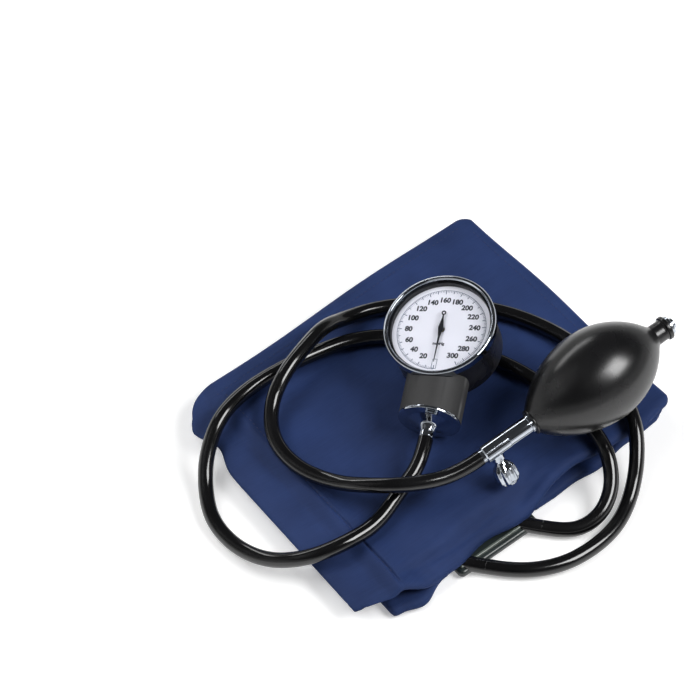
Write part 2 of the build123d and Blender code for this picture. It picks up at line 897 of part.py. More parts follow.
def swelling(widest, end, length, bands):
    """Outline points from the bulb's fullest section to an end, along an arc.

    The arc leaves the fullest section parallel to the axis, so its radius is half the drop
    plus the length squared over twice the drop.
    """
    drop = widest - end
    arc_radius = drop / 2 + length**2 / (2 * drop)
    points = []
    for index in range(bands + 1):
        distance = length * index / bands
        sagitta = arc_radius - math.sqrt(arc_radius**2 - distance**2)
        points.append((widest - sagitta, distance))
    return points


def bulb():
    """Hollow squeeze bulb, fullest behind its middle, with a neck at each end."""
    neck_end = bulb_back + bulb_rear_neck_length
    front_hole = valve_tail_radius + bore_clearance
    rear_hole = inlet_radius + bore_clearance
    shoulder = bulb_rear_neck_radius + bulb_shoulder
    front = swelling(bulb_radius, bulb_front_neck_radius, bulb_front + bulb_fullest, bulb_bands)
    rear = swelling(bulb_radius, shoulder, bulb_back - bulb_fullest, bulb_bands)
    outline = [
        *[(radius, bulb_fullest + distance) for radius, distance in rear],
        (bulb_rear_neck_radius, bulb_back + bulb_shoulder),
        (bulb_rear_neck_radius, neck_end - bulb_bead_length),
        (bulb_rear_bead_radius, neck_end - bulb_bead_length),
        (bulb_rear_bead_radius, neck_end),
        (rear_hole, neck_end),
        (rear_hole, bulb_back - bulb_wall),
        (bulb_radius - bulb_wall, bulb_fullest + cavity_half_length),
        (bulb_radius - bulb_wall, bulb_fullest - cavity_half_length),
        (front_hole, valve_tail_length - bulb_front),
        (front_hole, -bulb_front),
        *[(radius, bulb_fullest - distance) for radius, distance in reversed(front)],
    ]
    return bulb_plane * lathe(*outline[:-1])


def valve_body():
    """Front half of the valve: hose barb, release screw boss and the thread spigot."""
    collar_end = valve_front - valve_collar_length
    barbs = [(radius, 2 * collar_end - level) for radius, level in barb_outline(collar_end)]
    outline = [
        (valve_bore, collar_end - barb_length),
        *reversed(barbs),
        (valve_collar_radius, collar_end),
        (valve_collar_radius, valve_front),
        (valve_radius - valve_edge, valve_front),
        (valve_radius, valve_front + valve_edge),
        (valve_radius, valve_joint),
        (spigot_radius, valve_joint),
        (spigot_radius, check_chamber_start),
        (valve_bore, check_chamber_start),
    ]
    body = valve_frame * lathe(*outline)
    body += release_plane * rod(release_boss_radius, 0, release_boss_end)
    body -= valve_frame * rod(valve_bore, collar_end, check_chamber_start)
    stem_hole = rod(release_stem_radius + pivot_clearance, release_seat, release_boss_end + cut_past)
    body -= release_plane * stem_hole
    return body - release_plane * rod(release_seat_radius, 0, release_seat)


def check_housing():
    """Rear half of the valve with the check valve's chamber and the tail in the bulb's neck."""
    end = check_tail_start
    chamber_end = check_chamber_start + chamber_length
    outline = (
        (spigot_radius + fit_clearance, valve_joint),
        (check_radius - joint_groove, valve_joint),
        (check_radius, valve_joint + joint_groove),
        (check_radius, end - check_flange_length),
        (check_flange_radius, end - check_flange_length),
        (check_flange_radius, end),
        (valve_tail_radius, end),
        (valve_tail_radius, end + valve_tail_length),
        (valve_bore, end + valve_tail_length),
        (valve_bore, chamber_end),
        (chamber_radius, chamber_end),
        (chamber_radius, check_chamber_start),
        (spigot_radius + fit_clearance, check_chamber_start),
    )
    return valve_frame * lathe(*outline)


def outlet_flap():
    """Disc that closes the way back into the bulb."""
    seat = check_chamber_start + chamber_length - flap_clearance
    return valve_frame * rod(flap_radius, seat - flap_thickness, seat)


def release_spindle():
    """Stem with the cone that closes the release hole."""
    tip = release_seat + fit_clearance
    outline = (
        (0, tip),
        (release_tip_radius, tip),
        (release_stem_radius, tip + release_tip_length),
        (release_stem_radius, release_stem_end),
        (0, release_stem_end),
    )
    return release_plane * lathe(*outline)


def release_knob():
    """Fluted thumb screw with a slim neck."""
    stem_room = release_stem_radius + pivot_clearance
    outline = (
        (0, release_stem_end + fit_clearance),
        (stem_room, release_stem_end + fit_clearance),
        (stem_room, knob_start),
        (knob_neck_radius, knob_start),
        (knob_neck_radius, knob_start + knob_neck_length),
        (knob_radius, knob_cone_end),
        (knob_radius, knob_end - knob_chamfer),
        (knob_radius - knob_chamfer, knob_end),
        (0, knob_end),
    )
    body = lathe(*outline)
    for index in range(knob_flutes):
        turn = Rot(0, 0, index * 360 / knob_flutes)
        flute = rod(knob_flute_radius, knob_flute_start, knob_end + knob_chamfer)
        body -= turn * Pos(knob_radius + knob_flute_radius / 3, 0, 0) * flute
    return release_plane * body


def inlet_body():
    """Metal inlet in the bulb's rear neck, with a chamber for its flap."""
    neck_end = bulb_back + bulb_rear_neck_length
    flange_end = neck_end + inlet_flange_length
    seat = neck_end - inlet_seat_depth
    outline = (
        (inlet_bore, neck_end - inlet_length),
        (inlet_radius, neck_end - inlet_length),
        (inlet_radius, neck_end),
        (inlet_flange_radius, neck_end),
        (inlet_flange_radius, flange_end),
        (inlet_tip_radius, flange_end),
        (inlet_tip_radius, flange_end + inlet_tip_length),
        (inlet_bore, flange_end + inlet_tip_length),
        (inlet_bore, seat),
        (chamber_radius, seat),
        (chamber_radius, seat - chamber_length),
        (inlet_bore, seat - chamber_length),
    )
    return bulb_plane * lathe(*outline)


def inlet_flap():
    """Disc that lets air in and closes when the bulb is squeezed."""
    seat = bulb_back + bulb_rear_neck_length - inlet_seat_depth - flap_clearance
    return bulb_plane * rod(flap_radius, seat - flap_thickness, seat)


def bend_radii(points):
    """Largest tangent arc at each corner: 0.45 of the shorter run over the tangent of half the turn."""
    radii = []
    for before, corner, after in zip(points, points[1:], points[2:]):
        arriving = corner - before
        leaving = after - corner
        half_turn = math.radians(arriving.get_angle(leaving)) / 2
        radii.append(0.45 * min(arriving.length, leaving.length) / math.tan(half_turn))
    return radii


def hose(name, points):
    """Rubber tube along straight runs and tangent arcs, bored at both ends for what it grips."""
    points = [Vector(*point) for point in points]
    radii = bend_radii(points)
    path = FilletPolyline(*points, radius=radii)
    start = Plane(origin=points[0], z_dir=points[1] - points[0])
    end = Plane(origin=points[-1], z_dir=points[-2] - points[-1])
    tube = sweep(start * Circle(hose_diameter / 2), path=path)
    section = math.pi * hose_diameter**2 / 4
    share = tube.volume / section / path.length
    print(name, "length", round(path.length, 1), "volume share", round(share, 4))
    print(name, "radii", [round(radius) for radius in radii])
    print(name, "points", [tuple(round(value, 1) for value in point) for point in points])
    bore = rod(hose_bore / 2, -cut_past, hose_grip + bore_clearance)
    return tube - start * bore - end * bore


def gauge_hose():
    """Hose from the gauge's nipple round the left of the cuff, under the gauge and into the bladder."""
    exit_point = can_plane.from_local_coords(Vector(0, 0, nipple_end))
    neck = neck_planes()[0]
    entry = neck.from_local_coords(Vector(0, 0, neck_length))
    route = [
        exit_point,
        exit_point + can_plane.z_dir * nipple_run,
        *gauge_hose_route,
        entry + neck.z_dir * gauge_neck_run,
        entry,
    ]
    return hose("gauge_hose", route)


def bulb_hose():
    """Hose from the valve over the gauge's hose, under the bulb and into the bladder."""
    exit_point = valve_frame.origin + bulb_axis * (valve_front - valve_collar_length)
    neck = neck_planes()[1]
    entry = neck.from_local_coords(Vector(0, 0, neck_length))
    route = [
        exit_point,
        exit_point - bulb_axis * valve_run,
        *bulb_hose_route,
        entry + neck.z_dir * bulb_neck_run,
        entry,
    ]
    return hose("bulb_hose", route)


parts = {
    "cuff": cuff,
    "bladder": bladder,
    "gauge_case": gauge_case,
    "bezel": bezel,
    "crystal": crystal,
    "dial_ring": dial_ring,
    "dial": dial,
    "movement_plate": movement_plate,
    "pillars": pillars,
    "bridge": bridge,
    "movement_screws": movement_screws,
    "pinion": pinion,
    "sector_gear": sector_gear,
    "pointer": pointer,
    "bellows_housing": bellows_housing,
    "rod_guide": rod_guide,
    "bottom_cap": bottom_cap,
    "capsule": capsule,
    "push_rod": push_rod,
    "hanger_clip": hanger_clip,
    "clip_rivets": clip_rivets,
    "bulb": bulb,
    "valve_body": valve_body,
    "check_housing": check_housing,
    "outlet_flap": outlet_flap,
    "release_spindle": release_spindle,
    "release_knob": release_knob,
    "inlet_body": inlet_body,
    "inlet_flap": inlet_flap,
    "gauge_hose": gauge_hose,
    "bulb_hose": bulb_hose,
}
hook_place, loop_place = patch_places()

os.makedirs("parts", exist_ok=True)
for name, make in parts.items():
    export_step(make(), f"parts/{name}.step")
export_step(grip_patch(hook_place), "parts/hook_patch.step")
export_step(grip_patch(loop_place), "parts/loop_patch.step")
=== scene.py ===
"""Looks of an aneroid sphygmomanometer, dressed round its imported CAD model.

Everything is in the CAD model's frame: X runs along the folded cuff, Y across it and Z up from
the table, with the origin on the table under the cuff's middle. Sizes are written in
millimetres and become metres where a mesh is made.
"""

import logging
import math
from dataclasses import dataclass
from enum import Enum
from typing import ClassVar, Sequence

import bmesh
import bpy
import numpy as np
from mathutils import Matrix, Vector


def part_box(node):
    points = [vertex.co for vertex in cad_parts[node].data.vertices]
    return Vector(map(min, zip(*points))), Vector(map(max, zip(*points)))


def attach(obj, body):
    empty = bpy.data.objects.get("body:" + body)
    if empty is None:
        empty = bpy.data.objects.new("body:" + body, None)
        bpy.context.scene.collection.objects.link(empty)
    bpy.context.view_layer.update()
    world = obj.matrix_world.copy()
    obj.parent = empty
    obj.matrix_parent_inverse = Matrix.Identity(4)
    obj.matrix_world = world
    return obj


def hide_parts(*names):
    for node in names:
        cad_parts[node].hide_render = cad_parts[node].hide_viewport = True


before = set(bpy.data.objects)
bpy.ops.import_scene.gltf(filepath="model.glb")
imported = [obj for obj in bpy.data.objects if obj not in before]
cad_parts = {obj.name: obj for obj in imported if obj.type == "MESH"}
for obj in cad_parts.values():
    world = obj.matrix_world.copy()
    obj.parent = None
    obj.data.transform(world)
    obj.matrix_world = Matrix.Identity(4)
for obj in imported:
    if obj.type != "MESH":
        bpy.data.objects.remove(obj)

Triple = tuple[float, float, float]
Pair = tuple[float, float]
Span = tuple[float, float, float, float]
Outline = Sequence[Triple]
Array = np.ndarray
Socket = bpy.types.NodeSocket
Material = bpy.types.Material
Thing = bpy.types.Object

LOG = logging.getLogger("sphygmomanometer")
MM = 0.001
DOUBLES = 1e-6  # points nearer than this many metres are one
NO_TURN = 0.01  # a corner that turns by less than this is left as it is, in radians

# Where the gauge and the bulb lie in the model, in millimetres and degrees.
GAUGE_AT: Triple = (13.0, 13.8, 51.6)
GAUGE_HEADING, GAUGE_DIP, GAUGE_ROLL = -140.3, 9.25, 13.2
CAN_BEHIND = 15.6
BULB_AT: Triple = (48.5, -49.4, 45.9)
BULB_HEADING, BULB_RISE, VALVE_LEAN = -4.0, 11.0, 31.5
VALVE_TO_BULB = 54.3


class Body(Enum):
    """Bodies of the model that pieces ride on."""

    BASE = "base"
    STEM = "release_stem"
    KNOB = "release_knob"


class Slot(Enum):
    """Material slots of the record, one held in each piece's look."""

    CLOTH = "cuff_cloth"
    TAPE = "grip_tape"
    BLADDER = "bladder_rubber"
    HOSE = "hose_rubber"
    BULB = "bulb_rubber"
    CAN = "can_paint"
    CASE = "case_paint"
    PLATE = "bright_plate"
    DIAL = "dial_paint"
    RING = "ring_black"
    STEEL = "screw_steel"


def unit(heading: float, rise: float) -> Array:
    """Unit vector at a heading in the XY plane and a rise above it, in degrees."""
    flat, turn = math.cos(math.radians(rise)), math.radians(heading)
    return np.array((flat * math.cos(turn), flat * math.sin(turn), math.sin(math.radians(rise))))


def smoothstep(value: Array | float, low: float, high: float) -> Array:
    """Zero below low, one above high, and three squares less two cubes between them."""
    share = np.clip((np.asarray(value, dtype=float) - low) / (high - low), 0.0, 1.0)
    return share * share * (3.0 - 2.0 * share)


def fade(value: Array, low: float, high: float) -> Array:
    """One below low and zero above high: one less the smooth step between them."""
    return 1 - smoothstep(value, low, high)


def band(value: Array, span: Span) -> Array:
    """One between a span's inner numbers and zero beyond its outer ones."""
    return smoothstep(value, *span[:2]) * fade(value, *span[2:])


def bell(offset: Array, width: float) -> Array:
    """One at no offset, falling as e to the power of less the square of offset over width."""
    return np.exp(-((offset / width) ** 2))


def ray(turn: Array | float) -> Array:
    """Cosine and sine of an angle, side by side in the last axis."""
    return np.stack((np.cos(turn), np.sin(turn)), axis=-1)


def around(radius: Array, height: Array, angle: Array) -> Array:
    """Radius times the cosine and the sine of the angle, and the height, in the last axis."""
    return np.stack((radius * np.cos(angle), radius * np.sin(angle), height + 0.0 * angle), -1)


def circle(segments: int) -> Array:
    """Even angles of one whole turn."""
    return np.linspace(0.0, 2 * math.pi, segments, endpoint=False)


def spin(line: Array, segments: int) -> Array:
    """Rings of points from a profile's rows of radius and height."""
    return around(line[:, 0:1], line[:, 1:2], circle(segments))


@dataclass(frozen=True)
class Place:
    """A frame in the model: its origin in millimetres and its three unit axes."""

    origin: Array
    x: Array
    y: Array
    z: Array

    def out(self, local: Array) -> Array:
        """The origin plus each coordinate times its axis, for an array of local points."""
        moved = local[..., 0:1] * self.x + local[..., 1:2] * self.y + local[..., 2:3] * self.z
        return self.origin + moved

    def matrix(self) -> Matrix:
        """The same frame as a Blender matrix, in metres."""
        turn = Matrix([[*row] for row in np.stack((self.x, self.y, self.z), axis=1)])
        return Matrix.Translation(Vector(self.origin) * MM) @ turn.to_4x4()


def place_of(origin: Array, x: Array, z: Array) -> Place:
    """Frame with the given x and z axes, y being z crossed with x."""
    return Place(np.asarray(origin, dtype=float), x, np.cross(z, x), z)


def dial_place() -> Place:
    """Frame of the dial: x to three o'clock, y to twelve o'clock, z out through the crystal.

    The normal is that of a gauge with no roll, times the roll's cosine, plus the level side
    times its sine.

    Returns:
        The frame.
    """
    roll = math.radians(GAUGE_ROLL)
    down = unit(GAUGE_HEADING, -GAUGE_DIP)
    level_side = unit(GAUGE_HEADING - 90.0, 0.0)
    normal = np.cross(level_side, down) * math.cos(roll) + level_side * math.sin(roll)
    return place_of(GAUGE_AT, np.cross(-down, normal), normal)


def valve_place() -> Place:
    """Frame of the valve: origin where the release screw crosses the bulb's axis, z to the bulb.

    Returns:
        The frame, whose x leans by the valve's own angle about the axis.
    """
    along = unit(BULB_HEADING, BULB_RISE)
    lean = math.radians(VALVE_LEAN)
    level_side = np.cross((0.0, 0.0, 1.0), along)
    level_side = level_side / np.linalg.norm(level_side)
    side = level_side * math.cos(lean) - np.cross(along, level_side) * math.sin(lean)
    return place_of(np.array(BULB_AT) - along * VALVE_TO_BULB, side, along)


DIAL = dial_place()
CAN = place_of(DIAL.origin - DIAL.z * CAN_BEHIND, DIAL.x, -DIAL.y)
VALVE = valve_place()
BULB = place_of(VALVE.origin + VALVE.z * VALVE_TO_BULB, VALVE.x, VALVE.z)
RELEASE = place_of(VALVE.origin, VALVE.z, -VALVE.y)


def rounded(corners: Outline, steps: int = 6) -> Array:
    """Open line through corners, each turned on a tangent arc of its own radius.

    The arc's ends lie its radius over the tangent of half the corner's angle from the corner,
    and its points divide the chord evenly and are pushed out to the radius.

    Args:
        corners: radius, height and rounding of each corner.
        steps: divisions of each arc.

    Returns:
        Array of radius and height, one row a point.
    """
    points = np.array([corner[:2] for corner in corners], dtype=float)
    rows = [points[0:1]]
    for before, corner, after, size in zip(
        points, points[1:], points[2:], [corner[2] for corner in corners[1:]]
    ):
        arriving = (before - corner) / np.linalg.norm(before - corner)
        leaving = (after - corner) / np.linalg.norm(after - corner)
        between = math.acos(float(np.clip(arriving @ leaving, -1.0, 1.0)))
        if size <= 0.0 or between > math.pi - NO_TURN:
            rows.append(corner[None])
            continue
        bisector = (arriving + leaving) / np.linalg.norm(arriving + leaving)
        centre = corner + bisector * size / math.sin(between / 2)
        reach = size / math.tan(between / 2)
        share = np.linspace(0.0, 1.0, steps + 1)[:, None]
        spokes = corner + arriving * reach * (1 - share) + leaving * reach * share - centre
        rows.append(centre + spokes * size / np.linalg.norm(spokes, axis=1, keepdims=True))
    return np.concatenate((*rows, points[-1:]))


def grid_faces(rows: int, columns: int, wrap_rows: bool, wrap_columns: bool) -> Array:
    """Quads of a grid of points numbered row by row, joined round where a side wraps.

    Args:
        rows: rows of points.
        columns: points in a row.
        wrap_rows: True joins the last row to the first.
        wrap_columns: True joins each row's last point to its first.

    Returns:
        Numbers of the four corners of each quad, one row a quad.
    """
    numbers = np.arange(rows * columns).reshape(rows, columns)
    if wrap_rows:
        numbers = np.concatenate((numbers, numbers[:1]))
    if wrap_columns:
        numbers = np.concatenate((numbers, numbers[:, :1]), axis=1)
    quads = (numbers[:-1, :-1], numbers[:-1, 1:], numbers[1:, 1:], numbers[1:, :-1])
    return np.stack(quads, axis=-1).reshape(-1, 4)


def assign(target: object, **settings: object) -> None:
    """Sets an object's own settings by name."""
    for key, value in settings.items():
        setattr(target, key, value)


def add(name: str, data: bpy.types.ID) -> Thing:
    """New object in the scene.

    Args:
        name: name of the object.
        data: its mesh, curve, lamp or camera.

    Returns:
        The object.
    """
    made = bpy.data.objects.new(name, data)
    bpy.context.scene.collection.objects.link(made)
    return made


@dataclass(frozen=True)
class Look:
    """What a piece is besides its shape.

    Its finish and the record's slot for it, which is not used, the CAD node that it stands for,
    the body that carries it, and how many degrees an edge turns by before it is left sharp.
    """

    material: Material
    slot: Slot
    node: str = ""
    body: Body = Body.BASE
    sharp: float = 35.0


def finish_mesh(name: str, mesh: bpy.types.Mesh, look: Look, flatten: bool = False) -> Thing:
    """Merges doubles, points the faces outwards, shades the mesh and makes its object.

    Args:
        name: name of the piece.
        mesh: its shape in metres.
        look: its finish, slot, node and body.
        flatten: True also joins the faces that lie in one plane.

    Returns:
        The finished object, which rides on its body.
    """
    work = bmesh.new()
    work.from_mesh(mesh)
    bmesh.ops.remove_doubles(work, verts=work.verts, dist=DOUBLES)
    if flatten:
        plane = math.radians(0.5)
        bmesh.ops.dissolve_limit(work, angle_limit=plane, verts=work.verts, edges=work.edges)
    bmesh.ops.dissolve_degenerate(work, edges=work.edges, dist=DOUBLES / 10)
    bmesh.ops.recalc_face_normals(work, faces=work.faces)
    work.to_mesh(mesh)
    work.free()
    mesh.shade_smooth()
    mesh.set_sharp_from_angle(angle=math.radians(look.sharp))
    mesh.materials.clear()
    mesh.materials.append(look.material)
    piece = add(name, mesh)
    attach(piece, look.body.value)
    if look.node:
        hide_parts(look.node)
    LOG.info("%s: %d faces", name, len(mesh.polygons))
    return piece


def make_piece(name: str, points: Array, faces: Array, look: Look) -> Thing:
    """Finished object from points in millimetres and the corner numbers of each face.

    Args:
        name: name of the piece.
        points: its points, in any grid whose last axis is x, y and z.
        faces: corner numbers, one row a face.
        look: its finish, slot, node and body.

    Returns:
        The finished object.
    """
    mesh = bpy.data.meshes.new(name)
    mesh.from_pydata((points.reshape(-1, 3) * MM).tolist(), [], faces.tolist())
    return finish_mesh(name, mesh, look)


def turned(
    name: str, place: Place, line: Array, look: Look, closed: bool = True, segments: int = 128
) -> None:
    """Body of revolution: each point is carried round its frame's z axis.

    Args:
        name: name of the piece.
        place: frame whose z is the axis.
        line: radius and height of each point of the profile.
        look: its finish, slot, node and body.
        closed: True joins the profile's last point to its first, as on a ring.
        segments: divisions of the turn.
    """
    faces = grid_faces(len(line), segments, closed, True)
    make_piece(name, place.out(spin(line, segments)), faces, look)


def smooth_copy(look: Look, bevel: float = 0.0) -> None:
    """A CAD node's own shape as a piece, with edges softened by a bevel of some millimetres.

    Args:
        look: its finish, slot, node and body.
        bevel: width of the bevel, none at zero.
    """
    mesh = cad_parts[look.node].data.copy()
    piece = finish_mesh(look.node + "_finished", mesh, look, flatten=True)
    if bevel > 0.0:
        assign(
            piece.modifiers.new("soft edges", "BEVEL"), width=bevel * MM, segments=2,
            limit_method="ANGLE", angle_limit=math.radians(40.0), harden_normals=True,
        )


def shade(base: Triple, factor: float) -> Triple:
    """The colour times a factor, held under one."""
    return tuple(min(1.0, channel * factor) for channel in base)


class Shader:
    """A material being built from nodes round one Principled shader."""

    MIX_SHARE, MIX_LOW, MIX_HIGH, MIX_RESULT = 0, 6, 7, 2

    def __init__(self, name: str, base: Triple, roughness: float, metallic: float = 0.0) -> None:
        """Starts the material with its own colour, roughness and metal share.

        Args:
            name: name of the material.
            base: its main colour.
            roughness: its roughness.
            metallic: one for metal, zero for anything else.
        """
        self.material = bpy.data.materials.new(name)
        self.material.use_nodes = True
        self.material.diffuse_color = (*base, 1.0)
        self.tree = self.material.node_tree
        self.main = self.tree.nodes["Principled BSDF"]
        self.set(self.main, Base_Color=(*base, 1.0), Roughness=roughness, Metallic=metallic)

    def feed(self, target: Socket, value: Socket | object) -> None:
        """Links an output to an input, or sets the input to a constant.

        Args:
            target: the input.
            value: an output, or the constant.
        """
        if isinstance(value, Socket):
            self.tree.links.new(value, target)
        else:
            target.default_value = value

    def set(self, node: bpy.types.Node, **settings: object) -> None:
        """Sets a node's own settings and feeds its inputs, both by name.

        Args:
            node: the node.
            settings: value of each setting or input, with _ for a space in its name.
        """
        for key, value in settings.items():
            if hasattr(node, key):
                setattr(node, key, value)
            else:
                self.feed(node.inputs[key.replace("_", " ")], value)

    def node(self, kind: str, *inputs: Socket | object, **settings: object) -> bpy.types.Node:
        """Adds a node and feeds its first inputs in order and the others by name.

        Args:
            kind: the node's type without its prefix.
            inputs: what its first inputs are fed with, in order.
            settings: value of each other setting or input.

        Returns:
            The node.
        """
        made = self.tree.nodes.new("ShaderNode" + kind)
        self.set(made, **settings)
        for target, value in zip(made.inputs, inputs):
            self.feed(target, value)
        return made

    def place(self, output: str = "Object", stretch: Triple = (1.0, 1.0, 1.0)) -> Socket:
        """Coordinates of the piece, stretched along its axes."""
        source = self.node("TexCoord").outputs[output]
        return self.node("Mapping", source, Scale=stretch).outputs["Vector"]

    def noise(
        self, place: Socket, scale: float, detail: float = 3.0, roughness: float = 0.5
    ) -> Socket:
        """Noise between zero and one at so many cells a metre."""
        made = self.node("TexNoise", place, Scale=scale, Detail=detail, Roughness=roughness)
        return made.outputs["Fac"]

    def remap(self, value: Socket, old: Pair, new: Pair = (0.0, 1.0)) -> Socket:
        """The value carried from one range to another and held inside it."""
        return self.node("MapRange", value, *old, *new).outputs["Result"]

    def math(self, kind: str, first: Socket, second: Socket | float) -> Socket:
        """One sum on two values."""
        return self.node("Math", first, second, operation=kind).outputs["Value"]

    def tint(self, share: Socket, low: Triple, high: Triple) -> None:
        """Base colour between two colours.

        Args:
            share: zero for the first colour and one for the second.
            low: the first colour.
            high: the second colour.
        """
        made = self.node("Mix", data_type="RGBA")
        self.feed(made.inputs[self.MIX_SHARE], share)
        self.feed(made.inputs[self.MIX_LOW], (*low, 1.0))
        self.feed(made.inputs[self.MIX_HIGH], (*high, 1.0))
        self.set(self.main, Base_Color=made.outputs[self.MIX_RESULT])

    def rough(self, value: Socket, old: Pair, new: Pair) -> None:
        """Roughness that follows a value, between two ends."""
        self.set(self.main, Roughness=self.remap(value, old, new))

    def bump(self, height: Socket, distance: float, strength: float) -> None:
        """Bump of the given depth in millimetres."""
        made = self.node("Bump", Height=height, Strength=strength, Distance=distance * MM)
        self.set(self.main, Normal=made.outputs["Normal"])

    def surface(self, shader: Socket) -> None:
        """Makes a shader the material's surface."""
        self.set(self.tree.nodes["Material Output"], Surface=shader)


@dataclass(frozen=True)
class Finish:
    """A finish by its name, its main colour and its roughness."""

    name: str
    base: Triple
    roughness: float
    metallic: ClassVar[float] = 0.0

    def material(self) -> Material:
        """Builds the finish.

        Returns:
            The finished material.
        """
        made = Shader(self.name, self.base, self.roughness, self.metallic)
        self.paint(made)
        return made.material

    def paint(self, made: Shader) -> None:
        """Adds what this kind of finish is known by."""
        raise NotImplementedError

    def tones(self, low: float, high: float) -> tuple[Triple, Triple]:
        """The main colour times two factors."""
        return shade(self.base, low), shade(self.base, high)

    def range(self, down: float, up: float) -> Pair:
        """The roughness less one step and plus another."""
        return self.roughness - down, self.roughness + up


@dataclass(frozen=True)
class Rubber(Finish):
    """Moulded rubber: uneven depth of black, a dusty film and a fine skin."""

    grain: float = 900.0
    depth: float = 0.02
    bloom: float = 0.0

    def paint(self, made: Shader) -> None:
        """Adds a cloudy tint and roughness, and a skin of fine grain.

        Args:
            made: the shader that it is added to.
        """
        here = made.place()
        cloud = made.noise(here, 45.0, 4.0)
        made.tint(made.remap(cloud, (0.35, 0.7)), *self.tones(0.75, 1.5))
        made.rough(cloud, (0.3, 0.75), self.range(0.02, 0.05))
        made.bump(made.noise(here, self.grain, 2.0), self.depth, 0.35)
        made.set(
            made.main, Specular_IOR_Level=0.65, Sheen_Weight=self.bloom, Sheen_Roughness=0.25,
            Sheen_Tint=(0.9, 0.9, 0.8, 1.0),
        )


@dataclass(frozen=True)
class Plating(Finish):
    """Polished plating with smears and fine scratches."""

    metallic: ClassVar[float] = 1.0

    def paint(self, made: Shader) -> None:
        """Adds smears that dull the gloss and the tone, and scratches along one way.

        Args:
            made: the shader that it is added to.
        """
        smear = made.noise(made.place(), 140.0, 4.0, 0.6)
        made.rough(smear, (0.35, 0.8), self.range(0.0, 0.12))
        made.tint(made.remap(smear, (0.3, 0.8)), *self.tones(1.0, 0.86))
        made.bump(made.noise(made.place(stretch=(1.0, 18.0, 1.0)), 420.0, 2.0), 0.004, 0.3)


@dataclass(frozen=True)
class Lacquer(Finish):
    """Sprayed lacquer with a slight texture, paler where edges are rubbed."""

    worn: Triple

    def paint(self, made: Shader) -> None:
        """Adds patches of wear where the surface's pointiness is high, and a speckled skin.

        Args:
            made: the shader that it is added to.
        """
        here = made.place()
        cloud = made.noise(here, 60.0)
        edge = made.remap(made.node("NewGeometry").outputs["Pointiness"], (0.53, 0.62))
        wear = made.math("MULTIPLY", edge, made.remap(cloud, (0.45, 0.6), (0.2, 1.0)))
        made.tint(wear, self.base, self.worn)
        made.rough(cloud, (0.3, 0.7), self.range(0.05, 0.05))
        made.bump(made.noise(here, 1500.0, 2.0), 0.03, 0.5)


@dataclass(frozen=True)
class Weave(Finish):
    """Plain woven nylon on the piece's own UV map, which is in tenths of a metre."""

    pitch: float = 0.55
    one_wave: ClassVar[float] = 0.31416

    def paint(self, made: Shader) -> None:
        """Adds warp and weft, two sine bands that take turns on top, under clouds and slubs.

        Args:
            made: the shader that it is added to.
        """
        threads = 100.0 / self.pitch
        flat = made.place("UV", (threads, threads, 1.0))
        warp, weft = (
            made.node(
                "TexWave", flat, bands_direction=way, Scale=self.one_wave, Distortion=0.25,
                Detail=1.0,
            ).outputs["Fac"] for way in "XY"
        )
        thread = made.math("MAXIMUM", warp, weft)
        cloud = made.math("MULTIPLY", made.noise(made.place(), 26.0, 4.0, 0.55), 0.75)
        slub = made.math("MULTIPLY", made.noise(made.place("UV", (6.0, 160.0, 1.0)), 1.0), 0.25)
        weight = made.remap(thread, (0.0, 1.0), (0.55, 1.0))
        shadow = made.math("MULTIPLY", weight, made.math("ADD", cloud, slub))
        made.tint(made.remap(shadow, (0.2, 0.6)), *self.tones(0.62, 1.3))
        made.bump(thread, 0.07, 0.5)
        made.set(
            made.main, Specular_IOR_Level=0.12, Sheen_Weight=0.12, Sheen_Roughness=0.4,
            Sheen_Tint=(0.3, 0.42, 0.9, 1.0),
        )


@dataclass(frozen=True)
class Pile(Finish):
    """Napped or hooked tape: dense cells that stand up from the ground cloth."""

    cells: float

    def paint(self, made: Shader) -> None:
        """Adds cells that stand up, paler in their middle.

        Args:
            made: the shader that it is added to.
        """
        distance = made.node("TexVoronoi", made.place(), Scale=self.cells).outputs["Distance"]
        made.tint(made.remap(distance, (0.1, 0.6)), *self.tones(1.5, 1.0))
        made.bump(distance, 0.25, 0.8)
        made.set(made.main, Sheen_Weight=0.3)


@dataclass(frozen=True)
class Machined(Finish):
    """Turned or stamped metal with a brushed grain and tarnish in patches."""

    dull: Triple
    metallic: ClassVar[float] = 1.0

    def paint(self, made: Shader) -> None:
        """Adds tarnish in clouds, and a grain stretched along one axis.

        Args:
            made: the shader that it is added to.
        """
        brushed = made.noise(made.place(stretch=(1.0, 1.0, 30.0)), 700.0, 2.0)
        cloud = made.noise(made.place(), 120.0, 4.0)
        made.tint(made.remap(cloud, (0.4, 0.75)), self.base, self.dull)
        made.rough(brushed, (0.3, 0.7), self.range(0.06, 0.12))
        made.bump(brushed, 0.006, 0.4)


@dataclass(frozen=True)
class Printed(Finish):
    """Satin paint or ink with a faint unevenness."""

    def paint(self, made: Shader) -> None:
        """Adds faint clouds and a very fine grain.

        Args:
            made: the shader that it is added to.
        """
        cloud = made.noise(made.place(), 90.0)
        made.tint(made.remap(cloud, (0.3, 0.7)), *self.tones(0.94, 1.0))
        made.bump(made.noise(made.place(), 2500.0, 1.0), 0.003, 0.3)


